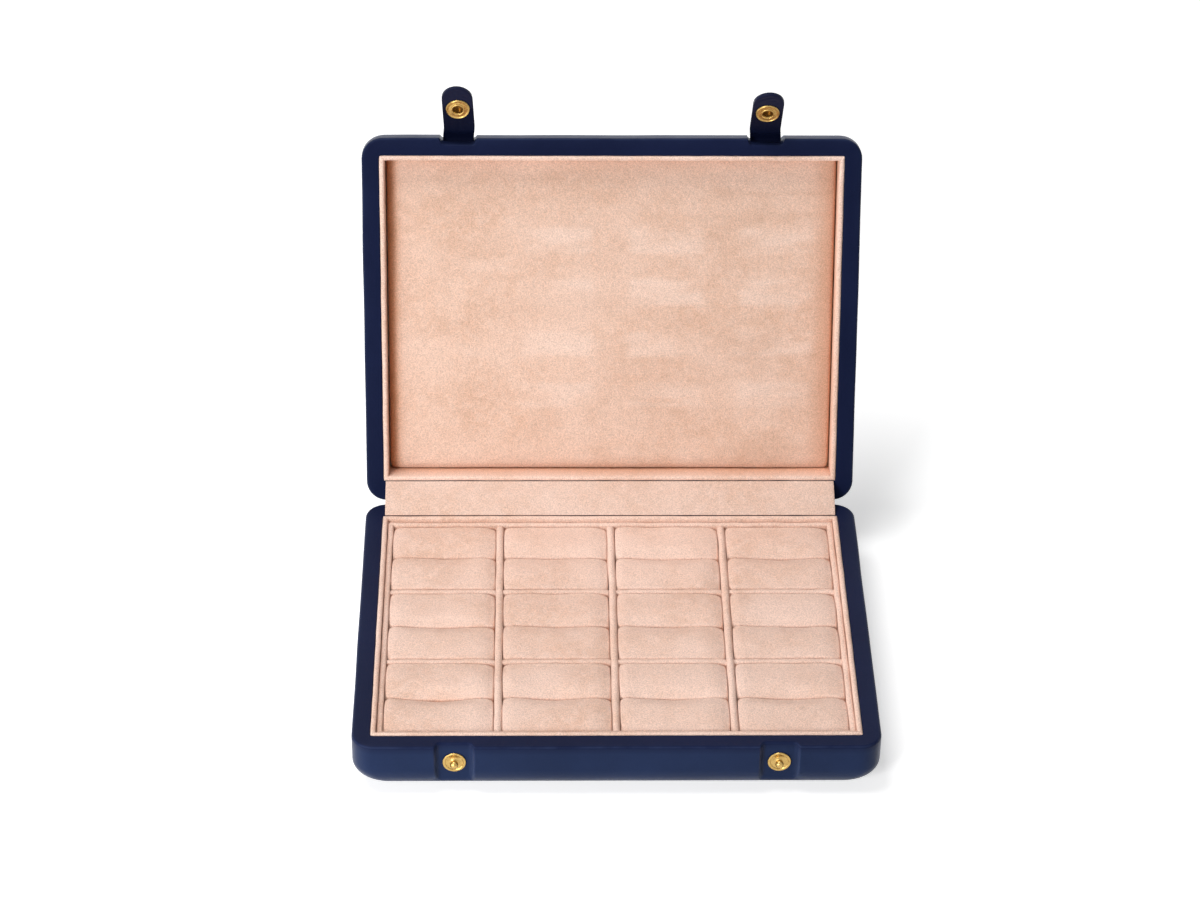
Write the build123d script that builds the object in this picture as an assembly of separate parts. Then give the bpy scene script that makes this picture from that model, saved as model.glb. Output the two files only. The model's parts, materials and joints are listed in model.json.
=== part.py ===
from build123d import *
from math import asin, atan2, cos, degrees, hypot, radians, sin, sqrt
import os

# Ring case: a shallow wooden base and lid wrapped in leather, joined along the back by a
# leather spine and an inner suede strip, and closed at the front by two leather snap tabs.
# Millimetres, +Z up, front towards -Y. The origin is the centre of the underside.
# The lid and the tabs are modelled closed and then turned to the open pose.

# Case halves
case_width = 240.0
case_depth = 183.6
base_height = 28.4
lid_height = 19.0
closed_gap = 1.0
plan_radius = 10.0
base_edge_radius = 14.0
base_corner_radius = 13.0
lid_edge_radius = 13.0
lid_corner_radius = 13.0
rim_edge_radius = 1.2
rim_width = 8.5
hinge_rim_width = 10.3
cover_thickness = 1.0
base_board_thickness = 5.0
lid_board_thickness = 2.5
rounding_sections = 6
overcut = 1.0
near = 0.01

# Underside panel
underside_thickness = 0.8
underside_margin = 3.0
cover_turn_under = 16.0
panel_corner_radius = 6.0

# Suede-covered liners
liner_thickness = 2.4
base_liner_proud = 0.4
lid_liner_proud = 0.3
liner_top_radius = 0.9

# Tray
tray_clearance = 0.2
tray_board_thickness = 2.0
rail_thickness = 2.7
rail_drop = 2.0
divider_thickness = 3.6
divider_drop = 2.2
cross_thickness = 3.2
cross_drop = 2.8
suede_edge_radius = 1.0
column_count = 4
row_count = 3

# Ring pads, two in each cell
pad_clearance = 0.3
pad_slit = 0.4
pad_drop = 1.6
pad_crown = 1.0
pad_edge_radius = 2.2
pad_side_draw = 0.5
pad_end_length = 2.6
pad_end_drop = 1.4
pad_end_draw = 0.8
pad_slit_sag = 0.5

# Padded lid panel
lid_panel_board_thickness = 1.2
lid_pad_clearance = 0.3
lid_pad_edge_height = 2.6
lid_pad_roll = 4.0
lid_pad_roll_rise = 1.6
lid_pad_roll_sections = 3
lid_pad_crown = 1.0
lid_pad_crown_share = 0.7
lid_pad_crown_sections = 3
lid_pad_corner_radius = 2.0

# Hinge
hinge_setback = 1.4
hinge_drop = 2.4
lid_open_angle = 106.8
hinge_leaf_margin = 9.5
spine_thickness = 1.3
spine_base_length = 11.4
spine_lid_length = 11.5
strip_thickness = 0.5
strip_clearance = 0.1

# Snap tabs and their recesses
tab_inset = 46.4
tab_width = 14.8
tab_thickness = 2.2
tab_edge_radius = 0.8
tab_tip_reach = 12.8
tab_root_height = 7.5
tab_floor_clearance = 0.3
left_tab_flex_to_snap = 56.0
right_tab_flex_to_snap = 49.0
recess_depth = 3.0
recess_floor_width = 17.2
recess_mouth_width = 18.4
recess_floor_radius = 2.5
recess_lip_radius = 0.6
anchor_width = 12.6
anchor_neck_height = 1.6
anchor_tail_length = 7.0
anchor_tail_thickness = 1.4
anchor_clearance = 0.05

# Snap fasteners
snap_drop = 11.0
stud_flange_radius = 5.3
stud_flange_height = 0.8
stud_flange_round = 0.3
stud_dish_radius = 3.9
stud_dish_slope = 0.4
stud_dish_height = 0.3
stud_boss_radius = 2.5
stud_boss_height = 0.7
stud_stem_radius = 1.4
stud_ball_radius = 1.9
stud_ball_height = 2.0
stud_shank_radius = 1.6
stud_shank_length = 5.0
shank_clearance = 0.05
socket_radius = 5.7
socket_edge_height = 0.3
socket_bead_radius = 5.35
socket_bead_height = 0.7
socket_trough_radius = 4.85
socket_trough_height = 0.45
socket_peak_radius = 3.3
socket_peak_height = 1.0
socket_lip_round = 0.35
socket_bore_radius = 2.35
socket_barrel_wall = 0.5
socket_barrel_depth = 1.9
socket_face_lift = 2.3
cap_radius = 6.2
cap_height = 1.2
cap_rim_height = 0.35
cap_spigot_clearance = 0.1

# Places worked out from the sizes above
half_width = case_width / 2
tab_spacing = case_width - 2 * tab_inset
front_y = -case_depth / 2
back_y = case_depth / 2
mouth_half = half_width - rim_width
mouth_front = front_y + rim_width
mouth_back = back_y - hinge_rim_width
lid_rim_z = base_height + closed_gap
lid_top_z = lid_rim_z + lid_height
base_floor_z = underside_thickness + cover_thickness + base_board_thickness
lid_ceiling_z = lid_top_z - cover_thickness - lid_board_thickness
hinge_y = back_y + hinge_setback
hinge_z = base_height - hinge_drop
leaf_half = half_width - hinge_leaf_margin
hinge_axis = Axis((0, hinge_y, hinge_z), (1, 0, 0))

tray_half = mouth_half - liner_thickness - tray_clearance
tray_front = mouth_front + liner_thickness + tray_clearance
tray_back = mouth_back - liner_thickness - tray_clearance
tray_top = base_height + base_liner_proud
tray_floor_z = base_floor_z + tray_board_thickness
cell_half = tray_half - rail_thickness
cell_front = tray_front + rail_thickness
cell_back = tray_back - rail_thickness
cell_width = (2 * cell_half - (column_count - 1) * divider_thickness) / column_count
cell_depth = (cell_back - cell_front - (row_count - 1) * cross_thickness) / row_count

recess_floor_y = front_y + recess_depth
snap_z = base_height - snap_drop
tab_axis_y = recess_floor_y - tab_floor_clearance - tab_thickness / 2
tab_axis_z = lid_rim_z + tab_root_height

# The ball's centre, seen from the tab's axis, gives the snapped tilt and the socket's place.
ball_below_face = socket_face_lift - stud_ball_height
ball_normal = tab_thickness / 2 + ball_below_face
ball_reach_y = recess_floor_y - stud_ball_height - tab_axis_y
ball_reach_z = tab_axis_z - snap_z
socket_reach = sqrt(ball_reach_y**2 + ball_reach_z**2 - ball_normal**2)
snap_tilt = degrees(atan2(ball_normal, socket_reach) - atan2(ball_reach_y, ball_reach_z))
left_tab_rest_tilt = snap_tilt + left_tab_flex_to_snap
right_tab_rest_tilt = snap_tilt + right_tab_flex_to_snap
tab_length = socket_reach + tab_tip_reach


def save(shape, node):
    export_step(shape, "parts/" + node + ".step")


def open_lid(shape):
    return shape.rotate(hinge_axis, -lid_open_angle)


def opened_point(y, z):
    """Where a point of the closed lid's YZ plane lies when the lid is open."""
    turn = radians(lid_open_angle)
    y = y - hinge_y
    z = z - hinge_z
    return (hinge_y + y * cos(turn) + z * sin(turn), hinge_z - y * sin(turn) + z * cos(turn))


def slab(x0, x1, y0, y1, z0, z1):
    block = Box(x1 - x0, y1 - y0, z1 - z0)
    return Pos((x0 + x1) / 2, (y0 + y1) / 2, (z0 + z1) / 2) * block


def both_sides(tool):
    return Pos(-tab_spacing / 2, 0, 0) * tool + Pos(tab_spacing / 2, 0, 0) * tool


def outline(width, depth, radius, z):
    return Pos(0, 0, z) * RectangleRounded(width, depth, radius)


def half_form(height, edge_radius, corner_radius, inset, rim_radius):
    """Rounded block of one half, rim up, drawn in by inset all round and underneath."""
    width = case_width - 2 * inset
    depth = case_depth - 2 * inset
    sweep = edge_radius - inset
    sections = []
    for step in range(rounding_sections + 1):
        angle = radians(90 * step / rounding_sections)
        draw = sweep * (1 - cos(angle))
        radius = plan_radius - inset + (corner_radius - plan_radius) * sin(angle)
        section = outline(width - 2 * draw, depth - 2 * draw, radius, edge_radius - sweep * sin(angle))
        sections.append(section)
    rounding = loft(sections[::-1])
    wall = extrude(outline(width, depth, plan_radius - inset, edge_radius), height - edge_radius)
    if rim_radius > 0:
        wall = fillet(wall.edges().group_by(Axis.Z)[-1], rim_radius)
    return rounding + wall


def recess_tool(grow, z0, z1):
    """Cutter of both tab recesses, grown by grow into the wall behind the leather."""
    floor_half = recess_floor_width / 2 + grow
    mouth = recess_mouth_width / 2 + grow
    face_y = front_y + grow
    floor_y = recess_floor_y + grow
    apron = mouth + recess_depth
    corners = [
        (-apron, face_y - recess_depth),
        (-apron, face_y),
        (-mouth, face_y),
        (-floor_half, floor_y),
        (floor_half, floor_y),
        (mouth, face_y),
        (apron, face_y),
        (apron, face_y - recess_depth),
    ]
    sketch = Polygon(*corners, align=None)
    floor_corners = sketch.vertices().filter_by(lambda v: abs(v.Y - floor_y) < near)
    sketch = fillet(floor_corners, recess_floor_radius)
    lips = sketch.vertices().filter_by(lambda v: abs(v.Y - face_y) < near and abs(v.X) < apron - near)
    sketch = fillet(lips, recess_lip_radius - grow / 4)
    return both_sides(Pos(0, 0, z0) * extrude(sketch, z1 - z0, dir=(0, 0, 1)))


def base_form(inset, rim_radius=0.0):
    lifted_height = base_height - underside_thickness
    form = half_form(lifted_height - inset, base_edge_radius, base_corner_radius, inset, rim_radius)
    form = Pos(0, 0, underside_thickness) * form
    return form - recess_tool(inset, -overcut, base_height + overcut)


def lid_form(inset, rim_radius=0.0):
    form = half_form(lid_height - inset, lid_edge_radius, lid_corner_radius, inset, rim_radius)
    form = Pos(0, 0, lid_top_z) * (Rot(180, 0, 0) * form)
    return form - recess_tool(inset, lid_rim_z - overcut, lid_top_z + overcut)


def mouth_box(grow, z0, z1):
    half = mouth_half + grow
    return slab(-half, half, mouth_front - grow, mouth_back + grow, z0, z1)


def shank_holes():
    """Holes for the snap studs' shanks through the base's front wall."""
    hole = Cylinder(stud_shank_radius + shank_clearance, 2 * (stud_shank_length + overcut))
    hole = Pos(0, recess_floor_y, snap_z) * (Rot(90, 0, 0) * hole)
    return both_sides(hole)


def anchor_solid(clearance):
    """Fixed end of a tab: a skived tail behind the leather and a neck through its slit."""
    half = anchor_width / 2 + clearance
    neck_low = tab_axis_z - anchor_neck_height / 2 - clearance
    neck_high = tab_axis_z + anchor_neck_height / 2 + clearance
    tail_y0 = recess_floor_y + cover_thickness - clearance
    tail_y1 = recess_floor_y + cover_thickness + anchor_tail_thickness + clearance
    tail_top = neck_low + anchor_tail_length + 2 * clearance
    neck = slab(-half, half, recess_floor_y, tail_y1, neck_low, neck_high)
    tail = slab(-half, half, tail_y0, tail_y1, neck_low, tail_top)
    return neck + tail


def build_base_shell():
    wood = base_form(cover_thickness)
    low = underside_thickness
    board = wood & slab(-half_width, half_width, front_y, back_y, low, base_floor_z)
    walls = wood & slab(-half_width, half_width, front_y, back_y, base_floor_z, base_height)
    walls = walls - mouth_box(cover_thickness, base_floor_z, base_height)
    walls = walls - shank_holes()
    cover = base_form(0.0, rim_edge_radius) - walls - board - mouth_box(0.0, base_floor_z, base_height)
    opening_width = case_width - 2 * (base_edge_radius + cover_turn_under)
    opening_depth = case_depth - 2 * (base_edge_radius + cover_turn_under)
    opening = extrude(outline(opening_width, opening_depth, panel_corner_radius, 0), base_floor_z)
    cover = cover - opening - shank_holes()
    margin = base_edge_radius + underside_margin
    sheet = outline(case_width - 2 * margin, case_depth - 2 * margin, panel_corner_radius, 0)
    filler = outline(
        opening_width - 2 * tray_clearance, opening_depth - 2 * tray_clearance, panel_corner_radius, 0
    )
    panel = extrude(sheet, underside_thickness) + extrude(filler, underside_thickness + cover_thickness)
    save(walls, "base_walls")
    save(board, "base_board")
    save(cover, "base_cover")
    save(panel, "base_underside")


def build_lid_shell():
    wood = lid_form(cover_thickness)
    board = wood & slab(-half_width, half_width, front_y, back_y, lid_ceiling_z, lid_top_z)
    walls = wood & slab(-half_width, half_width, front_y, back_y, lid_rim_z, lid_ceiling_z)
    walls = walls - mouth_box(cover_thickness, lid_rim_z, lid_ceiling_z)
    pockets = both_sides(anchor_solid(anchor_clearance))
    cover = lid_form(0.0, rim_edge_radius) - walls - board - mouth_box(0.0, lid_rim_z, lid_ceiling_z)
    cover = cover - pockets
    save(open_lid(walls - pockets), "lid_walls")
    save(open_lid(board), "lid_board")
    save(open_lid(cover), "lid_cover")


def liner_ring(z_floor, z_edge):
    """Four mitred card liners round the mouth; z_edge is the edge that shows."""
    inner_half = mouth_half - liner_thickness
    inner_front = mouth_front + liner_thickness
    inner_back = mouth_back - liner_thickness
    plans = {
        "front": [(-mouth_half, mouth_front), (mouth_half, mouth_front),
                  (inner_half, inner_front), (-inner_half, inner_front)],
        "back": [(-inner_half, inner_back), (inner_half, inner_back),
                 (mouth_half, mouth_back), (-mouth_half, mouth_back)],
        "left": [(-mouth_half, mouth_front), (-inner_half, inner_front),
                 (-inner_half, inner_back), (-mouth_half, mouth_back)],
        "right": [(inner_half, inner_front), (mouth_half, mouth_front),
                  (mouth_half, mouth_back), (inner_half, inner_back)],
    }
    low = min(z_floor, z_edge)
    liners = {}
    for side, corners in plans.items():
        liner = Pos(0, 0, low) * extrude(Polygon(*corners, align=None), abs(z_edge - z_floor))
        run = Axis.X if side in ("front", "back") else Axis.Y
        edges = liner.edges().filter_by(run).filter_by(lambda e: abs(e.center().Z - z_edge) < near)
        liners[side] = fillet(edges, liner_top_radius)
    return liners


def build_liners():
    for side, liner in liner_ring(base_floor_z, base_height + base_liner_proud).items():
        save(liner, "base_liner_" + side)
    for side, liner in liner_ring(lid_ceiling_z, lid_rim_z - lid_liner_proud).items():
        save(open_lid(liner), "lid_liner_" + side)


def soft_bar(x0, x1, y0, y1, z0, z1, run):
    """Suede-wrapped bar with its two long upper edges rounded."""
    bar = slab(x0, x1, y0, y1, z0, z1)
    edges = bar.edges().group_by(Axis.Z)[-1].filter_by(run)
    return fillet(edges, suede_edge_radius)


def column_start(column):
    return -cell_half + column * (cell_width + divider_thickness)


def row_start(row):
    return cell_front + row * (cell_depth + cross_thickness)


def build_tray():
    board = slab(-tray_half, tray_half, tray_front, tray_back, base_floor_z, tray_floor_z)
    save(board, "tray_board")
    rail_top = tray_top - rail_drop
    frame = slab(-tray_half, tray_half, tray_front, tray_back, tray_floor_z, rail_top)
    frame = frame - slab(-cell_half, cell_half, cell_front, cell_back, tray_floor_z, rail_top)
    frame = fillet(frame.edges().group_by(Axis.Z)[-1], suede_edge_radius)
    save(frame, "tray_frame")
    divider_top = tray_top - divider_drop
    names = ["left", "middle", "right"]
    for column, name in enumerate(names):
        x0 = column_start(column) + cell_width
        x1 = x0 + divider_thickness
        divider = soft_bar(x0, x1, cell_front, cell_back, tray_floor_z, divider_top, Axis.Y)
        save(divider, "tray_divider_" + name)
    cross_top = tray_top - cross_drop
    for row, name in enumerate(["front", "back"]):
        y0 = row_start(row) + cell_depth
        y1 = y0 + cross_thickness
        bars = []
        for column in range(column_count):
            x0 = column_start(column)
            bars.append(soft_bar(x0, x0 + cell_width, y0, y1, tray_floor_z, cross_top, Axis.X))
        save(Compound(bars), "tray_cross_" + name)


def pad_section(x, width, top, slit_side, sag, draw):
    """Section of a ring pad across its width: flat foot, leaning sides, rounded edges, crown."""
    half = width / 2 - draw
    foot = half - pad_side_draw
    r = pad_edge_radius
    bend = r * (1 - sqrt(0.5))
    right_top = top - sag if slit_side > 0 else top
    left_top = top - sag if slit_side < 0 else top
    crown_z = (right_top + left_top) / 2 + pad_crown
    right_side = Line((foot, 0), (half, right_top - r))
    right_bend = ThreePointArc((half, right_top - r), (half - bend, right_top - bend), (half - r, right_top))
    crown = ThreePointArc((half - r, right_top), (0, crown_z), (r - half, left_top))
    left_bend = ThreePointArc((r - half, left_top), (bend - half, left_top - bend), (-half, left_top - r))
    left_side = Line((-half, left_top - r), (-foot, 0))
    base = Line((-foot, 0), (foot, 0))
    wire = Wire([right_side, right_bend, crown, left_bend, left_side, base])
    frame = Plane(origin=(x, 0, 0), x_dir=(0, 1, 0), z_dir=(1, 0, 0))
    return frame * make_face(wire)


def ring_pad(slit_side):
    """One pad, its foot at z = 0 and its long axis on X; slit_side is the side of the ring slit."""
    length = cell_width - 2 * pad_clearance
    width = (cell_depth - 2 * pad_clearance - pad_slit) / 2
    top = tray_top - pad_drop - pad_crown - tray_floor_z
    half = length / 2
    stations = [
        (-half, pad_end_drop, 0.0, pad_end_draw),
        (pad_end_length - half, 0.0, 0.0, 0.0),
        (0.0, 0.0, pad_slit_sag, 0.0),
        (half - pad_end_length, 0.0, 0.0, 0.0),
        (half, pad_end_drop, 0.0, pad_end_draw),
    ]
    sections = []
    for x, drop, sag, draw in stations:
        sections.append(pad_section(x, width, top - drop, slit_side, sag, draw))
    return loft(sections, ruled=True), width


def build_pads():
    number = 1
    for row in range(row_count - 1, -1, -1):
        for half_row in (1, -1):
            pad, width = ring_pad(-half_row)
            y = row_start(row) + cell_depth / 2 + half_row * (width + pad_slit) / 2
            for column in range(column_count):
                x = column_start(column) + cell_width / 2
                save(Pos(x, y, tray_floor_z) * pad, "ring_pad_%02d" % number)
                number += 1


def build_lid_panel():
    inner_half = mouth_half - liner_thickness
    inner_front = mouth_front + liner_thickness
    inner_back = mouth_back - liner_thickness
    centre_y = (inner_front + inner_back) / 2
    width = 2 * (inner_half - lid_pad_clearance)
    depth = inner_back - inner_front - 2 * lid_pad_clearance
    board_low = lid_ceiling_z - lid_panel_board_thickness
    board = Pos(0, centre_y, board_low) * extrude(
        RectangleRounded(width, depth, lid_pad_corner_radius), lid_panel_board_thickness
    )
    save(open_lid(board), "lid_panel_board")
    sections = [outline(width, depth, lid_pad_corner_radius, 0)]
    for step in range(lid_pad_roll_sections + 1):
        angle = radians(90 * step / lid_pad_roll_sections)
        draw = lid_pad_roll * (1 - cos(angle))
        height = lid_pad_edge_height + lid_pad_roll_rise * sin(angle)
        sections.append(outline(width - 2 * draw, depth - 2 * draw, lid_pad_corner_radius, height))
    edge = lid_pad_edge_height + lid_pad_roll_rise
    for step in range(1, lid_pad_crown_sections + 1):
        share = step / lid_pad_crown_sections
        draw = lid_pad_roll + share * lid_pad_crown_share * (depth / 2 - 2 * lid_pad_roll)
        height = edge + (1 - (1 - share)**2) * lid_pad_crown
        sections.append(outline(width - 2 * draw, depth - 2 * draw, lid_pad_corner_radius, height))
    pad = loft(sections, ruled=True)
    pad = Pos(0, centre_y, board_low) * (Rot(180, 0, 0) * pad)
    save(open_lid(pad), "lid_pad")


def leaf_prism(face):
    """Extrudes a face drawn in the YZ plane across the hinge leaf's width."""
    return extrude(face, leaf_half, both=True)


def yz_face(edges):
    frame = Plane(origin=(0, 0, 0), x_dir=(0, 1, 0), z_dir=(1, 0, 0))
    return frame * make_face(Wire(edges))


def ring_sector(centre_y, centre_z, inner, outer, start, sweep):
    """Part of a ring in the YZ plane, angles in degrees from +Y towards +Z."""
    def at(radius, angle):
        a = radians(angle)
        return (centre_y + radius * cos(a), centre_z + radius * sin(a))
    middle = start + sweep / 2
    end = start + sweep
    outside = ThreePointArc(at(outer, start), at(outer, middle), at(outer, end))
    inside = ThreePointArc(at(inner, end), at(inner, middle), at(inner, start))
    closing = [Line(at(outer, end), at(inner, end)), Line(at(inner, start), at(outer, start))]
    return yz_face([outside, closing[0], inside, closing[1]])


def build_hinge():
    fold_outer = hinge_setback - strip_clearance
    fold_inner = fold_outer - spine_thickness + strip_clearance
    base_leaf = leaf_prism(yz_face(Polyline(
        (hinge_y - fold_outer, hinge_z), (hinge_y - fold_outer, hinge_z - spine_base_length),
        (hinge_y - fold_inner, hinge_z - spine_base_length), (hinge_y - fold_inner, hinge_z),
        close=True).edges()))
    fold = leaf_prism(ring_sector(hinge_y, hinge_z, fold_inner, fold_outer, 180, -lid_open_angle))
    bend_z = lid_top_z - lid_edge_radius
    rise = leaf_prism(yz_face(Polyline(
        (hinge_y - fold_outer, hinge_z), (hinge_y - fold_inner, hinge_z),
        (hinge_y - fold_inner, bend_z), (hinge_y - fold_outer, bend_z),
        close=True).edges()))
    wrap_y = back_y - lid_edge_radius
    wrap_inner = hinge_y - fold_outer - wrap_y
    wrap_outer = hinge_y - fold_inner - wrap_y
    wrap_sweep = degrees((spine_lid_length - (bend_z - lid_rim_z)) / lid_edge_radius)
    wrap = leaf_prism(ring_sector(wrap_y, bend_z, wrap_inner, wrap_outer, 0, wrap_sweep))
    spine = base_leaf + fold + open_lid(rise + wrap)
    save(spine, "hinge_spine")
    start = (mouth_back + strip_clearance, base_height + strip_clearance)
    end = opened_point(mouth_back + strip_clearance, lid_rim_z - strip_clearance)
    length = hypot(end[0] - start[0], end[1] - start[1])
    ny = -(end[1] - start[1]) / length * strip_thickness
    nz = (end[0] - start[0]) / length * strip_thickness
    strip = leaf_prism(yz_face(Polyline(
        start, end, (end[0] + ny, end[1] + nz), (start[0] + ny, start[1] + nz),
        close=True).edges()))
    save(strip, "hinge_strip")


def turned(profile):
    """Solid of revolution from edges in the XZ plane, turned so that its axis points out, to -Y."""
    frame = Plane(origin=(0, 0, 0), x_dir=(1, 0, 0), z_dir=(0, -1, 0))
    solid = revolve(frame * make_face(Wire(profile)), Axis.Z, 360)
    return Rot(90, 0, 0) * solid


def snap_stud():
    """Dished flange, ball post and shank; z = 0 of the profile is the recess floor."""
    ball_angle = asin(stud_stem_radius / stud_ball_radius)
    neck_z = stud_ball_height - stud_ball_radius * cos(ball_angle)
    flange = Polyline(
        (stud_stem_radius, neck_z), (stud_stem_radius, stud_boss_height),
        (stud_boss_radius, stud_dish_height), (stud_dish_radius, stud_dish_height),
        (stud_dish_radius + stud_dish_slope, stud_flange_height),
        (stud_flange_radius - stud_flange_round, stud_flange_height),
        (stud_flange_radius, stud_flange_height - stud_flange_round),
        (stud_flange_radius - stud_flange_round, 0.0), (stud_shank_radius, 0.0),
        (stud_shank_radius, -stud_shank_length), (0, -stud_shank_length),
        (0, stud_ball_height + stud_ball_radius),
    )
    ball = ThreePointArc(
        (0, stud_ball_height + stud_ball_radius),
        (stud_ball_radius, stud_ball_height),
        (stud_stem_radius, neck_z),
    )
    return turned(flange.edges() + ball.edges())


def snap_socket():
    """Beaded ring with a domed lip and a barrel; z = 0 is the tab's inner face, +z into the tab."""
    outer = socket_bore_radius + socket_barrel_wall
    profile = Polyline(
        (socket_bore_radius, socket_barrel_depth),
        (socket_bore_radius, socket_lip_round - socket_peak_height),
        (socket_bore_radius + socket_lip_round, -socket_peak_height),
        (socket_peak_radius, -socket_peak_height),
        (socket_peak_radius + socket_lip_round, socket_lip_round / 2 - socket_peak_height),
        (socket_trough_radius, -socket_trough_height),
        (socket_bead_radius, -socket_bead_height), (socket_radius, -socket_edge_height),
        (socket_radius, 0.0), (outer, 0.0), (outer, socket_barrel_depth),
        close=True,
    )
    return turned(profile.edges())


def snap_cap():
    """Domed cap and short spigot; z = 0 of the profile is the tab's outer face."""
    spigot = socket_bore_radius
    reach = tab_thickness - socket_barrel_depth - cap_spigot_clearance
    sides = Polyline(
        (0, cap_height), (0, -reach), (spigot, -reach), (spigot, 0.0),
        (cap_radius, 0.0), (cap_radius, cap_rim_height),
    )
    rise = cap_height - cap_rim_height
    dome_radius = (cap_radius**2 + rise**2) / (2 * rise)
    middle_drop = dome_radius - sqrt(dome_radius**2 - (cap_radius / 2)**2)
    dome = ThreePointArc(
        (cap_radius, cap_rim_height), (cap_radius / 2, cap_height - middle_drop), (0, cap_height)
    )
    return turned(sides.edges() + dome.edges())


def tab_strap():
    """Leather strap hanging down -Z from its flexing edge on the X axis, outer face to -Y."""
    radius = tab_width / 2
    body = Pos(0, 0, -(tab_length - radius) / 2) * Box(tab_width, tab_thickness, tab_length - radius)
    tip = Pos(0, 0, radius - tab_length) * (Rot(90, 0, 0) * Cylinder(radius, tab_thickness))
    strap = body + tip
    rim = strap.edges().filter_by(lambda e: e.center().Z < -near)
    rim = rim.filter_by(lambda e: abs(abs(e.center().Y) - tab_thickness / 2) < near)
    strap = fillet(rim, tab_edge_radius)
    root = Rot(0, 90, 0) * Cylinder(tab_thickness / 2, tab_width - 2 * tab_edge_radius)
    hole_radius = socket_bore_radius + socket_barrel_wall + shank_clearance
    hole = Pos(0, 0, -socket_reach) * (Rot(90, 0, 0) * Cylinder(hole_radius, 2 * tab_thickness))
    return strap + root - hole


def place_tab(shape, side):
    """Turns a tab's piece from hanging flat to its rest tilt, in place on the open lid."""
    rest_tilt = left_tab_rest_tilt if side < 0 else right_tab_rest_tilt
    tilted = Rot(-rest_tilt, 0, 0) * shape
    return open_lid(Pos(side * tab_spacing / 2, tab_axis_y, tab_axis_z) * tilted)


def build_tabs():
    strap = tab_strap()
    socket = Pos(0, tab_thickness / 2, -socket_reach) * snap_socket()
    cap = Pos(0, -tab_thickness / 2, -socket_reach) * snap_cap()
    stud = snap_stud()
    anchor = anchor_solid(0.0)
    for side, name in ((-1, "left"), (1, "right")):
        x = side * tab_spacing / 2
        save(place_tab(strap, side), "tab_" + name)
        save(place_tab(socket, side), "snap_socket_" + name)
        save(place_tab(cap, side), "snap_cap_" + name)
        save(open_lid(Pos(x, 0, 0) * anchor), "tab_anchor_" + name)
        save(Pos(x, recess_floor_y, snap_z) * stud, "snap_stud_" + name)


os.makedirs("parts", exist_ok=True)
build_base_shell()
build_lid_shell()
build_liners()
build_tray()
build_pads()
build_lid_panel()
build_hinge()
build_tabs()
print("cell", round(cell_width, 2), "by", round(cell_depth, 2))
print("socket reach", round(socket_reach, 3), "snap tilt", round(snap_tilt, 2))
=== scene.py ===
import json
import math

import bmesh
import bpy
from mathutils import Matrix, Vector, noise


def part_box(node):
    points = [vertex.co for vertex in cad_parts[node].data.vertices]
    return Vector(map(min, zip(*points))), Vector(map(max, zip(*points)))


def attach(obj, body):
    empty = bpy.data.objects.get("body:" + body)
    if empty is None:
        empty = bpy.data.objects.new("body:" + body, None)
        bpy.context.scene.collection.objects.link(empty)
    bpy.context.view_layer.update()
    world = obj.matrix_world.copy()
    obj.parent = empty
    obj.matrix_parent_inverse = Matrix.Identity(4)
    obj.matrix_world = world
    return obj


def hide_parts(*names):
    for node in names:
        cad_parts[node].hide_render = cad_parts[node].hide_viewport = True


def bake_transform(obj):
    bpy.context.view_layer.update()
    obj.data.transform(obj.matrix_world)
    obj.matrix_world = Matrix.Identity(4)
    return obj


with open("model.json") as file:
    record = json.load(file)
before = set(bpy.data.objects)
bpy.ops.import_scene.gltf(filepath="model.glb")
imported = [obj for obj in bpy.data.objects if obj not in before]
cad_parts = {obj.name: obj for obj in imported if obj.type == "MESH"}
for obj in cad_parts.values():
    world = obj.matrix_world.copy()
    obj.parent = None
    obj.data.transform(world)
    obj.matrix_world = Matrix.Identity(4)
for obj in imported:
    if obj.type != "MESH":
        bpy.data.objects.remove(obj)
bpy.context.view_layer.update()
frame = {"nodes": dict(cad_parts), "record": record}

noise.seed_set(7)  # the same unevenness in every run

# Ring case: leather shells, suede liners, tray bars, ring pads, lid panel, hinge strip and spine,
# leather tabs and their press fasteners. The lid's pieces are made shut and then opened.

MM = 0.001

# Sizes of the case, in millimetres
CASE_WIDTH = 240.0
CASE_DEPTH = 183.6
BASE_HEIGHT = 28.4
UNDERSIDE = 0.8
LID_HEIGHT = 19.0
CLOSED_GAP = 1.0
PLAN_RADIUS = 10.0
END_RADIUS = 13.0
BASE_EDGE = 14.0
LID_EDGE = 13.0
RIM_WIDTH = 8.5
HINGE_RIM_WIDTH = 10.3
RIM_ROUND = 1.3
RIM_FLAT = 6.0
MOUTH_ROUND = 0.7
MOUTH_RADIUS = 1.5
SKIN = 1.0
BASE_FOOT = 15.0
BASE_FLOOR = 6.8
LID_CEILING = 44.9
HINGE_Y = 93.2
HINGE_Z = 26.0
OPEN_ANGLE = 106.8
LID_RIM = BASE_HEIGHT + CLOSED_GAP
LID_TOP = LID_RIM + LID_HEIGHT
FRONT = -CASE_DEPTH / 2
BACK = CASE_DEPTH / 2
MOUTH_HALF = CASE_WIDTH / 2 - RIM_WIDTH
MOUTH_FRONT = FRONT + RIM_WIDTH
MOUTH_BACK = BACK - HINGE_RIM_WIDTH
LINER = 2.4

# How finely the leather shells are cut
LONG_EDGE = 30.0
FRONT_CUTS = 150
SIDE_CUTS = 60
LIP_CUTS = 4
LIP_ZONE = (4.5, 11.0)
MOUTH_STEPS = 4
RIM_STEPS = 6
WALL_STEP = 3.0
EDGE_STEPS = 16
LEATHER_WAVER = 0.22
LEATHER_WAVE = 34.0

# the suede of the base is painted darker low down, as painted shade between the bars and pads, from this
# height up to the rise above it
SHADE_LOW = 20.0
SHADE_RISE = 4.5
# marks that the ring pads press into the lid panel: columns across, rows up the open lid, in metres
COLUMN_STEP = 0.0540
ROW_STEP = 0.0251
ROW_START = 0.0487

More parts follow.
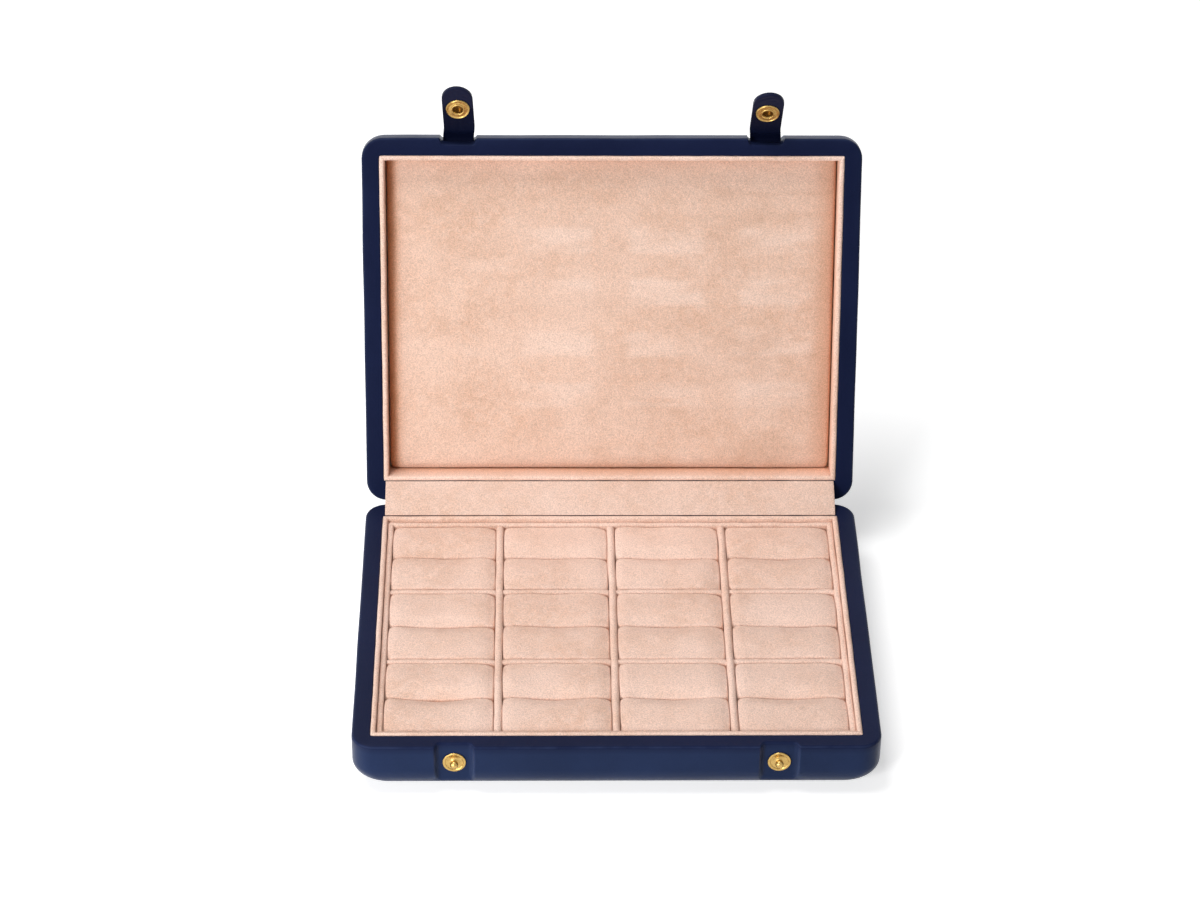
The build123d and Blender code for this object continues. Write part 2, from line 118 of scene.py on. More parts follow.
# Tabs, their sunk places and the fasteners
TAB_X = 73.6
RECESS_DEPTH = 3.0
RECESS_FLOOR_HALF = 6.1
RECESS_ROUND = 2.5
RECESS_LIP = 0.6
TAB_WIDTH = 14.8
TAB_THICKNESS = 2.2
TAB_LENGTH = 32.259
TAB_ROOT = 2.2
TAB_BEND = 5.0
TAB_HOLE = 2.9
TAB_ROUND = 0.75
TAB_AXIS_Y = -90.2
TAB_AXIS_Z = 36.9
REST_TILT = {-1: 61.88, 1: 54.88}
LEAN = {-1: -2.5, 1: 2.5}
SIDES = ((-1, "left"), (1, "right"))
SEAM_DEPTH = 0.22
SEAM_WIDTH = 0.28
CREASE_DEPTH = 0.26
CREASE_WIDTH = 0.35
# creases of the straps: across, along, turn in radians, half length
CREASES = {
    -1: (
        (-1.4, 29.0, -0.9, 3.0), (1.6, 29.4, 0.8, 2.8), (0.2, 27.3, 0.1, 1.9),
        (-3.2, 27.6, 0.5, 1.8), (3.4, 27.2, -0.5, 1.9), (-0.6, 30.8, 0.3, 2.0),
    ),
    1: ((-3.0, 29.4, 0.35, 2.8), (2.0, 28.4, -0.3, 2.4), (0.4, 30.4, 0.1, 2.4), (3.6, 26.8, 0.9, 1.6)),
}
SOCKET_REACH = 19.459
SNAP_Z = 17.4
SPIN_STEPS = 56
SPRING_RADIUS = 0.22
SPRING_LENGTH = 2.6
SPRING_APART = 1.90
SPRING_BOW = 0.06
SPRING_DEPTH = 0.8

# Tray, pads and panel
RAIL = 2.7
DIVIDER = 3.6
PAD_VOXEL = 1.2
PAD_ROUND = 2.6
PAD_CROWN = 1.0
PAD_STILL = 14.0
PAD_RISE = 8.0
SLIT_REACH = 7.0
RIGHT_DROP = 0.9
RIGHT_REACH = 9.0
# how far each slit's lips sag in the middle, row by row from the back
SLIT_SAG = ((-0.2, 0.1, 0.7, 0.5), (0.7, 0.2, 0.3, 0.3), (1.2, 0.5, 0.9, 0.8))
PANEL_BOARD = 43.7
PANEL_VOXEL = 2.4
PANEL_PLAY = 0.1
SWELL_CAP = 0.7
SWELL_FRAMES = 14

# Strip and spine
BAND_HALF = 110.5
STRIP_THICKNESS = 0.6
STRIP_BULGE = 0.7
STRIP_ROWS = 14
SPINE_THICKNESS = 1.1
SPINE_OFF = 0.7
SPINE_TURNS = 12
SPINE_ON_LID = 11.5

# The photograph's camera: metres, degrees, radians and the lens in mm
CAMERA_PLACE = (-0.037149, -1.274731, 1.04836)
CAMERA_PITCH = 35.847
CAMERA_YAW = -0.0233
CAMERA_ROLL = 0.0133
CAMERA_LENS = 103.743

# Lamps: name, place, aim, size in metres, power in watts
LAMPS = (
    ("key", (-0.80, -1.25, 0.72), (0, 0.03, 0.08), (0.45, 0.45), 15.5),
    ("top", (-0.45, 0.05, 1.55), (0, 0.03, 0.04), (0.8, 0.8), 16.0),
    ("low front", (-0.24, -0.24, 0.035), (0, -0.09, 0.015), (0.40, 0.04), 0.36),
)
FLOOR_TONE = 0.86
FLOOR_GLOW = 0.55
WHITE_FROM = 0.35
WHITE_AT = 1.30
WORLD_LIGHT = 0.14

OPEN = (
    Matrix.Translation((0, HINGE_Y * MM, HINGE_Z * MM))
    @ Matrix.Rotation(math.radians(-OPEN_ANGLE), 4, "X")
    @ Matrix.Translation((0, -HINGE_Y * MM, -HINGE_Z * MM))
)

scene = bpy.context.scene
scene.view_settings.view_transform = "Standard"


def make_camera():
    """The photograph's camera: long lens, above and a little left of the case."""
    pitch = math.radians(CAMERA_PITCH)
    turn = Matrix.Rotation(CAMERA_YAW, 3, "Z")
    forward = turn @ Vector((0, math.cos(pitch), -math.sin(pitch)))
    right = turn @ Vector((1, 0, 0))
    up = turn @ Vector((0, math.sin(pitch), math.cos(pitch)))
    right_rolled = math.cos(CAMERA_ROLL) * right + math.sin(CAMERA_ROLL) * up
    up_rolled = math.cos(CAMERA_ROLL) * up - math.sin(CAMERA_ROLL) * right
    data = bpy.data.cameras.new("camera")
    data.lens = CAMERA_LENS
    data.sensor_width = 36.0
    data.clip_start = 0.05
    data.clip_end = 20.0
    camera = bpy.data.objects.new("camera", data)
    scene.collection.objects.link(camera)
    axes = Matrix((right_rolled, up_rolled, -forward)).transposed().to_4x4()
    camera.matrix_world = Matrix.Translation(CAMERA_PLACE) @ axes
    scene.camera = camera


make_camera()


# Materials

class Nodes:
    """Short words for building one material's nodes."""

    def __init__(self, name):
        self.material = bpy.data.materials.new(name)
        self.material.use_nodes = True
        self.tree = self.material.node_tree
        self.shader = self.tree.nodes["Principled BSDF"]
        self.place = self.tree.nodes.new("ShaderNodeTexCoord").outputs["Object"]

    def set(self, **values):
        for name, value in values.items():
            self.shader.inputs[name.replace("_", " ")].default_value = value

    def link(self, source, target):
        self.tree.links.new(source, target)

    def attribute(self, name):
        """What mark() stored on the mesh."""
        node = self.tree.nodes.new("ShaderNodeAttribute")
        node.attribute_name = name
        return node.outputs["Fac"]

    def stretched(self, x, y, z):
        node = self.tree.nodes.new("ShaderNodeMapping")
        node.inputs["Scale"].default_value = (x, y, z)
        self.link(self.place, node.inputs["Vector"])
        return node.outputs["Vector"]

    def noise(self, scale, detail=3.0, rough=0.55, place=None, distort=0.0):
        node = self.tree.nodes.new("ShaderNodeTexNoise")
        node.inputs["Scale"].default_value = scale
        node.inputs["Detail"].default_value = detail
        node.inputs["Roughness"].default_value = rough
        node.inputs["Distortion"].default_value = distort
        self.link(place or self.place, node.inputs["Vector"])
        return node.outputs["Fac"]

    def cells(self, scale):
        node = self.tree.nodes.new("ShaderNodeTexVoronoi")
        node.inputs["Scale"].default_value = scale
        self.link(self.place, node.inputs["Vector"])
        return node.outputs["Distance"]

    def ramp(self, value, *stops):
        node = self.tree.nodes.new("ShaderNodeValToRGB")
        for point, (at, color) in zip(node.color_ramp.elements, stops):
            point.position = at
            point.color = (*color, 1.0)
        self.link(value, node.inputs["Fac"])
        return node.outputs["Color"]

    def grey(self, value, low, high, out_low=0.0, out_high=1.0):
        node = self.tree.nodes.new("ShaderNodeMapRange")
        node.interpolation_type = "SMOOTHSTEP"
        node.inputs["From Min"].default_value = low
        node.inputs["From Max"].default_value = high
        node.inputs["To Min"].default_value = out_low
        node.inputs["To Max"].default_value = out_high
        self.link(value, node.inputs["Value"])
        return node.outputs["Result"]

    def math(self, operation, a, b):
        node = self.tree.nodes.new("ShaderNodeMath")
        node.operation = operation
        for socket, value in zip(node.inputs, (a, b)):
            if isinstance(value, (int, float)):
                socket.default_value = value
            else:
                self.link(value, socket)
        return node.outputs["Value"]

    def times(self, a, b):
        return self.math("MULTIPLY", a, b)

    def mix(self, share, a, b, blend="MIX"):
        node = self.tree.nodes.new("ShaderNodeMix")
        node.data_type = "RGBA"
        node.blend_type = blend
        sockets = (node.inputs["Factor"], node.inputs[6], node.inputs[7])
        for socket, value in zip(sockets, (share, a, b)):
            if isinstance(value, (int, float)):
                socket.default_value = value
            elif isinstance(value, tuple):
                socket.default_value = (*value, 1.0)
            else:
                self.link(value, socket)
        return node.outputs[2]

    def bump(self, height, distance, strength=1.0, under=None):
        node = self.tree.nodes.new("ShaderNodeBump")
        node.inputs["Strength"].default_value = strength
        node.inputs["Distance"].default_value = distance
        self.link(height, node.inputs["Height"])
        if under is not None:
            self.link(under, node.inputs["Normal"])
        return node.outputs["Normal"]


def toned(color, red, green, blue):
    """A tone of a colour: each part multiplied, none over 1."""
    return tuple(min(1.0, part * by) for part, by in zip(color, (red, green, blue)))


def pressed(n, base, color, imprint):
    """The lid panel's colour: pale marks of the ring pads, rubbed patches, streaks to the right and a
    band of painted shade along the right edge.
    """
    axes = n.tree.nodes.new("ShaderNodeSeparateXYZ")
    n.link(n.place, axes.inputs["Vector"])
    across, up = axes.outputs["X"], axes.outputs["Z"]
    row = n.times(n.math("SUBTRACT", up, ROW_START), 2 * math.pi / ROW_STEP)
    column = n.times(n.math("SUBTRACT", across, COLUMN_STEP / 2), 2 * math.pi / COLUMN_STEP)
    rows = n.grey(n.math("COSINE", row, 0.0), -0.35, 0.45)
    rows = n.times(rows, n.grey(n.math("COSINE", column, 0.0), -0.80, -0.25))
    # no marks near the left side, the top and the bottom
    inner = n.times(n.grey(across, -0.06, -0.03), n.grey(up, 0.163, 0.150))
    rows = n.times(rows, n.times(inner, n.grey(up, 0.055, 0.066)))
    along = n.stretched(0.8, 1.4, 2.6)
    rubbed = n.noise(30.0, 3.0, 0.55, along, 0.4)
    share = n.times(rows, n.grey(rubbed, 0.36, 0.56, 0.15, imprint))
    share = n.math("ADD", share, n.grey(rubbed, 0.56, 0.72, 0.0, 0.4 * imprint))
    color = n.mix(share, color, toned(base, 1.09, 1.17, 1.24))
    streak_and_shade_tone = toned(base, 0.80, 0.70, 0.62)
    streak = n.noise(19.0, 3.0, 0.6, along, 0.8)
    to_right = n.grey(across, -0.02, 0.11, 0.20, 0.60)
    color = n.mix(n.times(n.grey(streak, 0.46, 0.72), to_right), color, streak_and_shade_tone)
    # painted shade: a darker band along the panel's right edge
    return n.mix(n.grey(across, 0.094, 0.107, 0.0, 0.75), color, streak_and_shade_tone)


def suede(name, base=(0.81, 0.575, 0.470), imprint=0.0):
    """Brushed suede: nap, fibres and a soft sheen. imprint adds the marks that the ring pads leave."""
    n = Nodes(name)
    light = toned(base, 1.06, 1.09, 1.12)
    dark = toned(base, 0.93, 0.87, 0.82)
    broad = n.noise(24.0, 3.0, 0.55)
    middle = n.noise(210.0, 4.0, 0.65, distort=0.6)
    fine = n.noise(1500.0, 2.0, 0.75)
    hair = n.noise(2900.0, 1.0, 0.6)
    color = n.mix(n.grey(broad, 0.30, 0.72), dark, light)
    color = n.mix(n.grey(middle, 0.38, 0.68, 0.0, 0.65), color, light)
    if imprint > 0:
        color = pressed(n, base, color, imprint)
    # painted shade: darker, more orange suede in crevices and low down, by the mark that the pieces
    # store
    color = n.mix(n.attribute("painted_shade"), color, toned(base, 0.90, 0.58, 0.34))
    speck = n.times(n.grey(fine, 0.25, 0.75, 0.82, 1.19), n.grey(hair, 0.25, 0.75, 0.90, 1.13))
    color = n.mix(1.0, color, speck, "MULTIPLY")
    n.link(color, n.shader.inputs["Base Color"])
    n.set(Roughness=0.95, Sheen_Weight=0.30, Sheen_Roughness=0.45, Specular_IOR_Level=0.06)
    n.shader.inputs["Sheen Tint"].default_value = (1.0, 0.93, 0.88, 1.0)
    normal = n.bump(middle, 0.00045, 0.7)
    normal = n.bump(fine, 0.00034, 1.0, normal)
    n.link(normal, n.shader.inputs["Normal"])
    return n.material


def leather(name, base=(0.0076, 0.0118, 0.040), outer=(0.0135, 0.0245, 0.068)):
    """Smooth dyed leather: tight grain, slow changes of tone, painted light as a lighter tone on the
    outside, a painted highlight on the edges, and gloss at a slant.
    """
    n = Nodes(name)
    outside = n.attribute("outside")
    broad = n.noise(22.0, 3.0, 0.5)
    grain = n.cells(1700.0)
    fine = n.noise(2600.0, 2.0, 0.6)
    shade = n.times(n.grey(broad, 0.3, 0.7, 0.90, 1.11), n.grey(grain, 0.0, 0.55, 0.93, 1.0))
    # painted light: the outer tone makes the outside walls lighter than the rim
    tone = n.mix(1.0, n.mix(outside, base, outer), shade, "MULTIPLY")
    # painted highlight: a lighter blue on the rim's outer edge and the tab places' lips, broken up by
    # noise
    edge_highlight = n.grey(n.noise(90.0, 3.0, 0.6), 0.3, 0.65, 0.35, 1.0)
    edge_highlight = n.times(n.attribute("edge"), edge_highlight)
    n.link(n.mix(edge_highlight, tone, (0.050, 0.072, 0.150)), n.shader.inputs["Base Color"])
    gloss = n.grey(n.noise(60.0, 4.0, 0.6), 0.3, 0.7, 0.33, 0.38)
    gloss = n.math("ADD", gloss, n.grey(fine, 0.3, 0.7, 0.0, 0.05))
    n.link(gloss, n.shader.inputs["Roughness"])
    slant = n.tree.nodes.new("ShaderNodeLayerWeight").outputs["Facing"]
    shine = n.times(n.grey(slant, 0.42, 0.80, 0.0, 0.08), outside)
    shine = n.math("ADD", n.grey(slant, 0.05, 0.45, 0.02, 0.08), shine)
    n.link(shine, n.shader.inputs["Specular IOR Level"])
    normal = n.bump(n.noise(240.0, 2.0, 0.5), 0.00020, 0.3)
    normal = n.bump(grain, 0.00008, 0.4, normal)
    normal = n.bump(fine, 0.00004, 0.4, normal)
    n.link(normal, n.shader.inputs["Normal"])
    return n.material


def brass(name, base=(0.52, 0.345, 0.115)):
    """Turned brass with slight tarnish."""
    n = Nodes(name)
    tarnish = n.grey(n.noise(700.0, 4.0, 0.6), 0.42, 0.75, 0.0, 0.6)
    n.link(n.mix(tarnish, base, toned(base, 0.55, 0.48, 0.42)), n.shader.inputs["Base Color"])
    n.link(n.grey(n.noise(1500.0, 3.0, 0.6), 0.3, 0.7, 0.22, 0.42), n.shader.inputs["Roughness"])
    n.set(Metallic=1.0)
    n.link(n.bump(n.noise(2200.0, 2.0, 0.6), 0.00004, 0.4), n.shader.inputs["Normal"])
    return n.material


def wood(name):
    n = Nodes(name)
    rings = n.noise(260.0, 4.0, 0.6, n.stretched(0.15, 1.0, 1.0), 1.2)
    color = n.ramp(rings, (0.3, (0.42, 0.27, 0.15)), (0.7, (0.62, 0.44, 0.27)))
    n.link(color, n.shader.inputs["Base Color"])
    n.set(Roughness=0.7)
    n.link(n.bump(rings, 0.0002, 0.4), n.shader.inputs["Normal"])
    return n.material


def card(name):
    n = Nodes(name)
    fibre = n.noise(900.0, 4.0, 0.7)
    color = n.ramp(fibre, (0.3, (0.40, 0.36, 0.31)), (0.7, (0.56, 0.52, 0.46)))
    n.link(color, n.shader.inputs["Base Color"])
    n.set(Roughness=0.9)
    n.link(n.bump(fibre, 0.0001, 0.5), n.shader.inputs["Normal"])
    return n.material


SUEDE = suede("blush suede")
PANEL_SUEDE = suede("blush suede, pressed", (0.750, 0.525, 0.415), 0.75)
STRIP_SUEDE = suede("blush suede, strip", (0.735, 0.530, 0.435))
LEATHER = leather("navy leather")
# a darker copy of the navy leather for the straps: painted shade, with a lighter painted-light tone for
# the end
SHADED_STRAP_LEATHER = leather("navy leather, strap, painted shade", (0.0030, 0.0048, 0.0185), (0.0105, 0.0125, 0.034))
BRASS = brass("brass")
DARK_BRASS = brass("dark brass", (0.16, 0.09, 0.03))
WOOD = wood("wood")
CARD = card("card")


# Modelling helpers

def deselect_objects():
    if bpy.context.object and bpy.context.object.mode != "OBJECT":
        bpy.ops.object.mode_set(mode="OBJECT")
    bpy.ops.object.select_all(action="DESELECT")


def activate(obj):
    deselect_objects()
    obj.select_set(True)
    bpy.context.view_layer.objects.active = obj


def start_edit(obj, kind="VERT"):
    activate(obj)
    bpy.ops.object.mode_set(mode="EDIT")
    bpy.ops.mesh.select_mode(type=kind)


def end_edit():
    bpy.ops.object.mode_set(mode="OBJECT")


def pick(obj, kind, test):
    """In edit mode, selects only the edges or faces or vertices whose middle passes the test, in mm."""
    bpy.ops.mesh.select_mode(type=kind)
    bpy.ops.mesh.select_all(action="DESELECT")
    mesh = bmesh.from_edit_mesh(obj.data)
    if kind == "VERT":
        for v in mesh.verts:
            if test(v.co / MM):
                v.select_set(True)
    elif kind == "EDGE":
        for e in mesh.edges:
            a, b = (v.co / MM for v in e.verts)
            if test((a + b) / 2, b - a):
                e.select_set(True)
    else:
        for f in mesh.faces:
            if test(f.calc_center_median() / MM, f.normal):
                f.select_set(True)
    bmesh.update_edit_mesh(obj.data)


def move_points(obj, change):
    """Carries every point of a finished form, given and returned in mm."""
    for v in obj.data.vertices:
        v.co = change(v.co / MM) * MM
    obj.data.update()


def modifier(obj, kind, **values):
    activate(obj)
    m = obj.modifiers.new(kind.lower(), kind)
    for name, value in values.items():
        setattr(m, name, value)
    bpy.ops.object.modifier_apply(modifier=m.name)


def smooth(obj, angle=40.0):
    activate(obj)
    bpy.ops.object.shade_smooth_by_angle(angle=math.radians(angle))


def dress(obj, material):
    obj.data.materials.clear()
    obj.data.materials.append(material)


def mark(obj, name, share):
    """Stores on each point, given in mm, how far it takes a tone of painted light or shade."""
    layer = obj.data.attributes.new(name, "FLOAT", "POINT")
    for v, item in zip(obj.data.vertices, layer.data):
        item.value = share(v.co / MM)


def open_up(obj):
    obj.data.transform(OPEN)
    obj.data.update()


def waver(amount, scale, seed=0.0):
    """A slow unevenness: how far a point at p, in mm, lies off its true place, in mm."""
    def at(p):
        q = Vector(p) / scale + Vector((seed, 1.7 * seed, -seed))
        return noise.noise_vector(q) * amount
    return at


def box_mm(node):
    """A solid's two corners, in mm."""
    return [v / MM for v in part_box(node)]


def step_up(x):
    x = min(1.0, max(0.0, x))
    return x * x * (3 - 2 * x)


# Leather shells

def rounded_plate(name, width, depth, radius, z):
    bpy.ops.mesh.primitive_plane_add(size=1.0, location=(0, 0, z * MM))
    obj = bpy.context.object
    obj.name = name
    bpy.ops.object.transform_apply(location=True, rotation=True, scale=True)
    start_edit(obj)
    bpy.ops.mesh.select_all(action="SELECT")
    bpy.ops.transform.resize(value=(width * MM, depth * MM, 1.0), center_override=(0, 0, z * MM))
    bpy.ops.mesh.bevel(offset=radius * MM, segments=12, affect="VERTICES", profile=0.5)
    return obj


def fit(value, half0, radius0, half1, radius1):
    """Where a point of one rounded outline lies on another, along one axis."""
    size = abs(value)
    flat0 = half0 - radius0
    flat1 = half1 - radius1
    if size <= flat0:
        size = size / flat0 * flat1
    else:
        size = flat1 + (size - flat0) / radius0 * radius1
    return math.copysign(size, value)


def draw_ring(obj, old, new, z):
    """Extrudes the selected outline and carries it from one rounded outline to another, at z."""
    bpy.ops.mesh.extrude_edges_indiv()
    carry_ring(obj, old, new, z)


def carry_ring(obj, old, new, z):
    """Carries the selected points from one outline to another: half width, front, back, radius."""
    mesh = bmesh.from_edit_mesh(obj.data)
    for v in mesh.verts:
        if v.select:
            way = 1 if v.co.y < 0 else 2
            x = fit(v.co.x / MM, old[0], old[3], new[0], new[3])
            y = fit(v.co.y / MM, old[way], old[3], new[way], new[3])
            v.co = Vector((x, y, z)) * MM
    bmesh.update_edit_mesh(obj.data)


def outline(draw, radius, back_draw=None):
    """The case's outline drawn in by draw, or by back_draw along the back."""
    back = draw if back_draw is None else back_draw
    return (CASE_WIDTH / 2 - draw, CASE_DEPTH / 2 - draw, CASE_DEPTH / 2 - back, radius)


def recess_push(x):
    """How far the front is sunk at x, in mm."""
    u = abs(abs(x) - TAB_X) - RECESS_FLOOR_HALF
    if u <= 0:
        return RECESS_DEPTH
    if u < RECESS_ROUND:
        return RECESS_DEPTH - RECESS_ROUND + math.sqrt(RECESS_ROUND**2 - u**2)
    return (RECESS_DEPTH - RECESS_ROUND) * (1 - step_up((u - RECESS_ROUND) / RECESS_LIP))


def leather_shell(name, height, edge, mouth_depth, foot):
    """One half's leather, rim up: mouth lining, rim, walls, rounding and underside."""
    obj = rounded_plate(name, CASE_WIDTH, CASE_DEPTH, PLAN_RADIUS, height)
    bpy.ops.mesh.select_all(action="SELECT")
    bpy.ops.mesh.delete(type="ONLY_FACE")
    by_lip = lambda m: m.y < 0 and LIP_ZONE[0] < abs(abs(m.x) - TAB_X) < LIP_ZONE[1]
    for test, cuts in (
        (lambda m, d: abs(d.x) > LONG_EDGE, FRONT_CUTS),
        (lambda m, d: abs(d.y) > LONG_EDGE, SIDE_CUTS),
        (lambda m, d: by_lip(m) and abs(d.x) > 0.3, LIP_CUTS),
    ):
        pick(obj, "EDGE", test)
        bpy.ops.mesh.subdivide(number_cuts=cuts)
    bpy.ops.mesh.select_all(action="SELECT")
    size = outline(RIM_WIDTH, MOUTH_RADIUS, HINGE_RIM_WIDTH)
    carry_ring(obj, outline(0.0, PLAN_RADIUS), size, height - mouth_depth)
    draw_ring(obj, size, size, height - mouth_depth / 2)
    # the rings to come, each an outline and its height: first the mouth's round edge
    rings = []
    for turn in range(MOUTH_STEPS + 1):
        angle = math.radians(90 * turn / MOUTH_STEPS)
        draw = MOUTH_ROUND * (1 - math.cos(angle))
        new = outline(RIM_WIDTH - draw, MOUTH_RADIUS + draw, HINGE_RIM_WIDTH - draw)
        rings.append((new, height - MOUTH_ROUND * (1 - math.sin(angle))))
    # the flat rim and its round outer edge
    for draw in (RIM_FLAT, RIM_FLAT / 2, RIM_ROUND):
        rings.append((outline(draw, PLAN_RADIUS - draw), height))
    for turn in range(1, RIM_STEPS + 1):
        angle = math.radians(90 * turn / RIM_STEPS)
        draw = RIM_ROUND * (1 - math.sin(angle))
        rings.append((outline(draw, PLAN_RADIUS - draw), height - RIM_ROUND * (1 - math.cos(angle))))
    # walls, rounding and underside
    wall = height - edge - RIM_ROUND
    levels = max(1, round(wall / WALL_STEP))
    for level in range(1, levels + 1):
        rings.append((rings[-1][0], height - RIM_ROUND - wall * level / levels))
    for turn in range(1, EDGE_STEPS + 1):
        angle = math.radians(90 * turn / EDGE_STEPS)
        radius = PLAN_RADIUS + (END_RADIUS - PLAN_RADIUS) * math.sin(angle)
        rings.append((outline(edge * (1 - math.cos(angle)), radius), edge * (1 - math.sin(angle))))
    if foot > 0:
        rings.append((outline(edge + foot, END_RADIUS / 2), 0))
    for new, z in rings:
        draw_ring(obj, size, new, z)
        size = new
    if foot == 0:
        bpy.ops.mesh.edge_face_add()
    bpy.ops.mesh.select_all(action="SELECT")
    bpy.ops.mesh.normals_make_consistent(inside=False)
    end_edit()
    rim = max(obj.data.polygons, key=lambda face: face.center.z)
    if rim.normal.z < 0:
        obj.data.flip_normals()
    return obj


def sink_recesses(obj, height, edge):
    """Presses the two tab places into the front, running out in the rounding."""
    soft = 0.5

    def change(p):
        if p.y > MOUTH_FRONT - 3.0:
            return p
        push = recess_push(p.x)
        if push <= 0:
            return p
        on_top = height - p.z < RIM_ROUND
        if on_top or p.z > edge:
            p.y += push
        else:
            floor = FRONT + push
            gap = p.y - floor
            p.y = floor + 0.5 * (gap + math.sqrt(gap * gap + soft * soft * push / RECESS_DEPTH))
        return p

    move_points(obj, change)


def unevenness(obj, height, seed):
    """Slow waver of hand-laid leather on the outside, none at the mouth."""
    at = waver(LEATHER_WAVER, LEATHER_WAVE, seed)

    def change(p):
        outside = max(abs(p.x) - (MOUTH_HALF + 2), MOUTH_FRONT - 2 - p.y, p.y - (MOUTH_BACK + 2), -1)
        share = step_up(outside / 5.0) if p.z > 1.0 else 0.0
        shift = at(p)
        return p + Vector((shift.x, shift.y, 0.35 * shift.z if p.z > height - 3 else 0.0)) * share

    move_points(obj, change)


def wall_share(p, height):
    """The outside walls, given rim up, get painted light: a lighter tone than the rim."""
    return 1 - step_up((p.z - height + 2.2) / 1.6)


def slit_shade(p):
    """The lid's tab places, given rim up, get painted shade round the slits."""
    if p.y > MOUTH_FRONT:
        return 0.0
    return step_up(recess_push(p.x) / RECESS_DEPTH) * step_up((p.z - LID_EDGE + 4.0) / 4.0)


def edge_highlight_share(p, height):
    """Painted highlight: a line round the rim's outer edge and the lips of the tab places."""
    out = max(abs(p.x) - CASE_WIDTH / 2, abs(p.y) - CASE_DEPTH / 2)
    line = math.exp(-(((p.z - height + 0.5) / 0.35) ** 2)) * step_up((out + 4.5) / 3.0)
    lip = abs(abs(p.x) - TAB_X) - RECESS_FLOOR_HALF - RECESS_ROUND
    side = math.exp(-((lip / 0.5) ** 2)) * (1 if p.y < MOUTH_FRONT else 0) * step_up((p.z - 4.0) / 6.0)
    side *= step_up((height - 1.0 - p.z) / 1.2)
    return min(1.0, 0.30 * line + 0.45 * side)


def half_shell(name, height, edge, mouth_depth, foot, seed, outside):
    """One half's leather with its tab places and thickness, still rim up."""
    obj = leather_shell(name, height, edge, mouth_depth, foot)
    sink_recesses(obj, height, edge)
    unevenness(obj, height, seed)
    modifier(obj, "SOLIDIFY", thickness=SKIN * MM, offset=-1.0, use_even_offset=False)
    # painted light on the outside walls
    mark(obj, "outside", lambda p: outside(p, height))
    # painted highlight on the rim's edge and the lips of the tab places
    mark(obj, "edge", lambda p: edge_highlight_share(p, height))
    return obj


def make_shells():
    height = BASE_HEIGHT - UNDERSIDE
    depth = BASE_HEIGHT - BASE_FLOOR
    base = half_shell("base_leather", height, BASE_EDGE, depth, BASE_FOOT, 3.1, wall_share)
    base.data.transform(Matrix.Translation((0, 0, UNDERSIDE * MM)))
    depth = LID_CEILING - LID_RIM
    # painted shade in the lid's tab places takes away the painted light of the walls
    by_slit = lambda p, height: wall_share(p, height) * (1 - slit_shade(p))
    lid = half_shell("lid_leather", LID_HEIGHT, LID_EDGE, depth, 0, 7.7, by_slit)
    # turned over: the rim faces down and the front stays at the front
    lid.data.transform(Matrix.Translation((0, 0, LID_TOP * MM)) @ Matrix.Diagonal((1, 1, -1, 1)))
    lid.data.flip_normals()
    open_up(lid)
    for obj, body, node in ((base, "base", "base_cover"), (lid, "lid", "lid_cover")):
        smooth(obj, 45.0)
        modifier(obj, "WEIGHTED_NORMAL", keep_sharp=True)
        dress(obj, LEATHER)
        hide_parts(node)
        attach(obj, body)


make_shells()


# Turned fasteners

def turned(name, profile, place, material):
    """A piece of revolution from (radius, height) points in mm, spun about its own +Z, then placed."""
    bpy.ops.mesh.primitive_plane_add(size=MM, location=(0, 0, 0))
    obj = bpy.context.object
    obj.name = name
    start_edit(obj)
    pick(obj, "VERT", lambda p: p.x > 0 or p.y > 0)
    bpy.ops.mesh.delete(type="VERT")
    bpy.ops.mesh.select_all(action="SELECT")
    mesh = bmesh.from_edit_mesh(obj.data)
    mesh.verts.ensure_lookup_table()
    mesh.verts[0].co = Vector((profile[0][0], 0, profile[0][1])) * MM
    bmesh.update_edit_mesh(obj.data)
    for (r0, h0), (r1, h1) in zip(profile, profile[1:]):
        move = {"value": ((r1 - r0) * MM, 0, (h1 - h0) * MM)}
        bpy.ops.mesh.extrude_vertices_move(TRANSFORM_OT_translate=move)
    bpy.ops.mesh.select_all(action="SELECT")
    bpy.ops.mesh.spin(steps=SPIN_STEPS, angle=2 * math.pi, center=(0, 0, 0), axis=(0, 0, 1))
    bpy.ops.mesh.select_all(action="SELECT")
    bpy.ops.mesh.remove_doubles(threshold=0.000002)
    bpy.ops.mesh.normals_make_consistent(inside=False)
    end_edit()
    smooth(obj, 35.0)
    obj.data.transform(place @ Matrix.Rotation(math.radians(90), 4, "X"))
    obj.data.update()
    dress(obj, material)
    return obj


def arc_points(centre, radius, start, end, count):
    """Points of an arc in a profile, angles in degrees from the radius axis."""
    points = []
    for i in range(count + 1):
        a = math.radians(start + (end - start) * i / count)
        points.append((centre[0] + radius * math.cos(a), centre[1] + radius * math.sin(a)))
    return points


def tab_place(side):
    """From a tab's own frame, hanging flat from its axis, to its place on the open lid."""
    tilt = Matrix.Rotation(math.radians(-REST_TILT[side]), 4, "X")
    return OPEN @ Matrix.Translation(Vector((side * TAB_X, TAB_AXIS_Y, TAB_AXIS_Z)) * MM) @ tilt


def on_tab(side, out):
    """The place of a fastener on a tab, out from the tab's middle in mm."""
    return tab_place(side) @ Matrix.Translation(Vector((0, out, -SOCKET_REACH)) * MM)


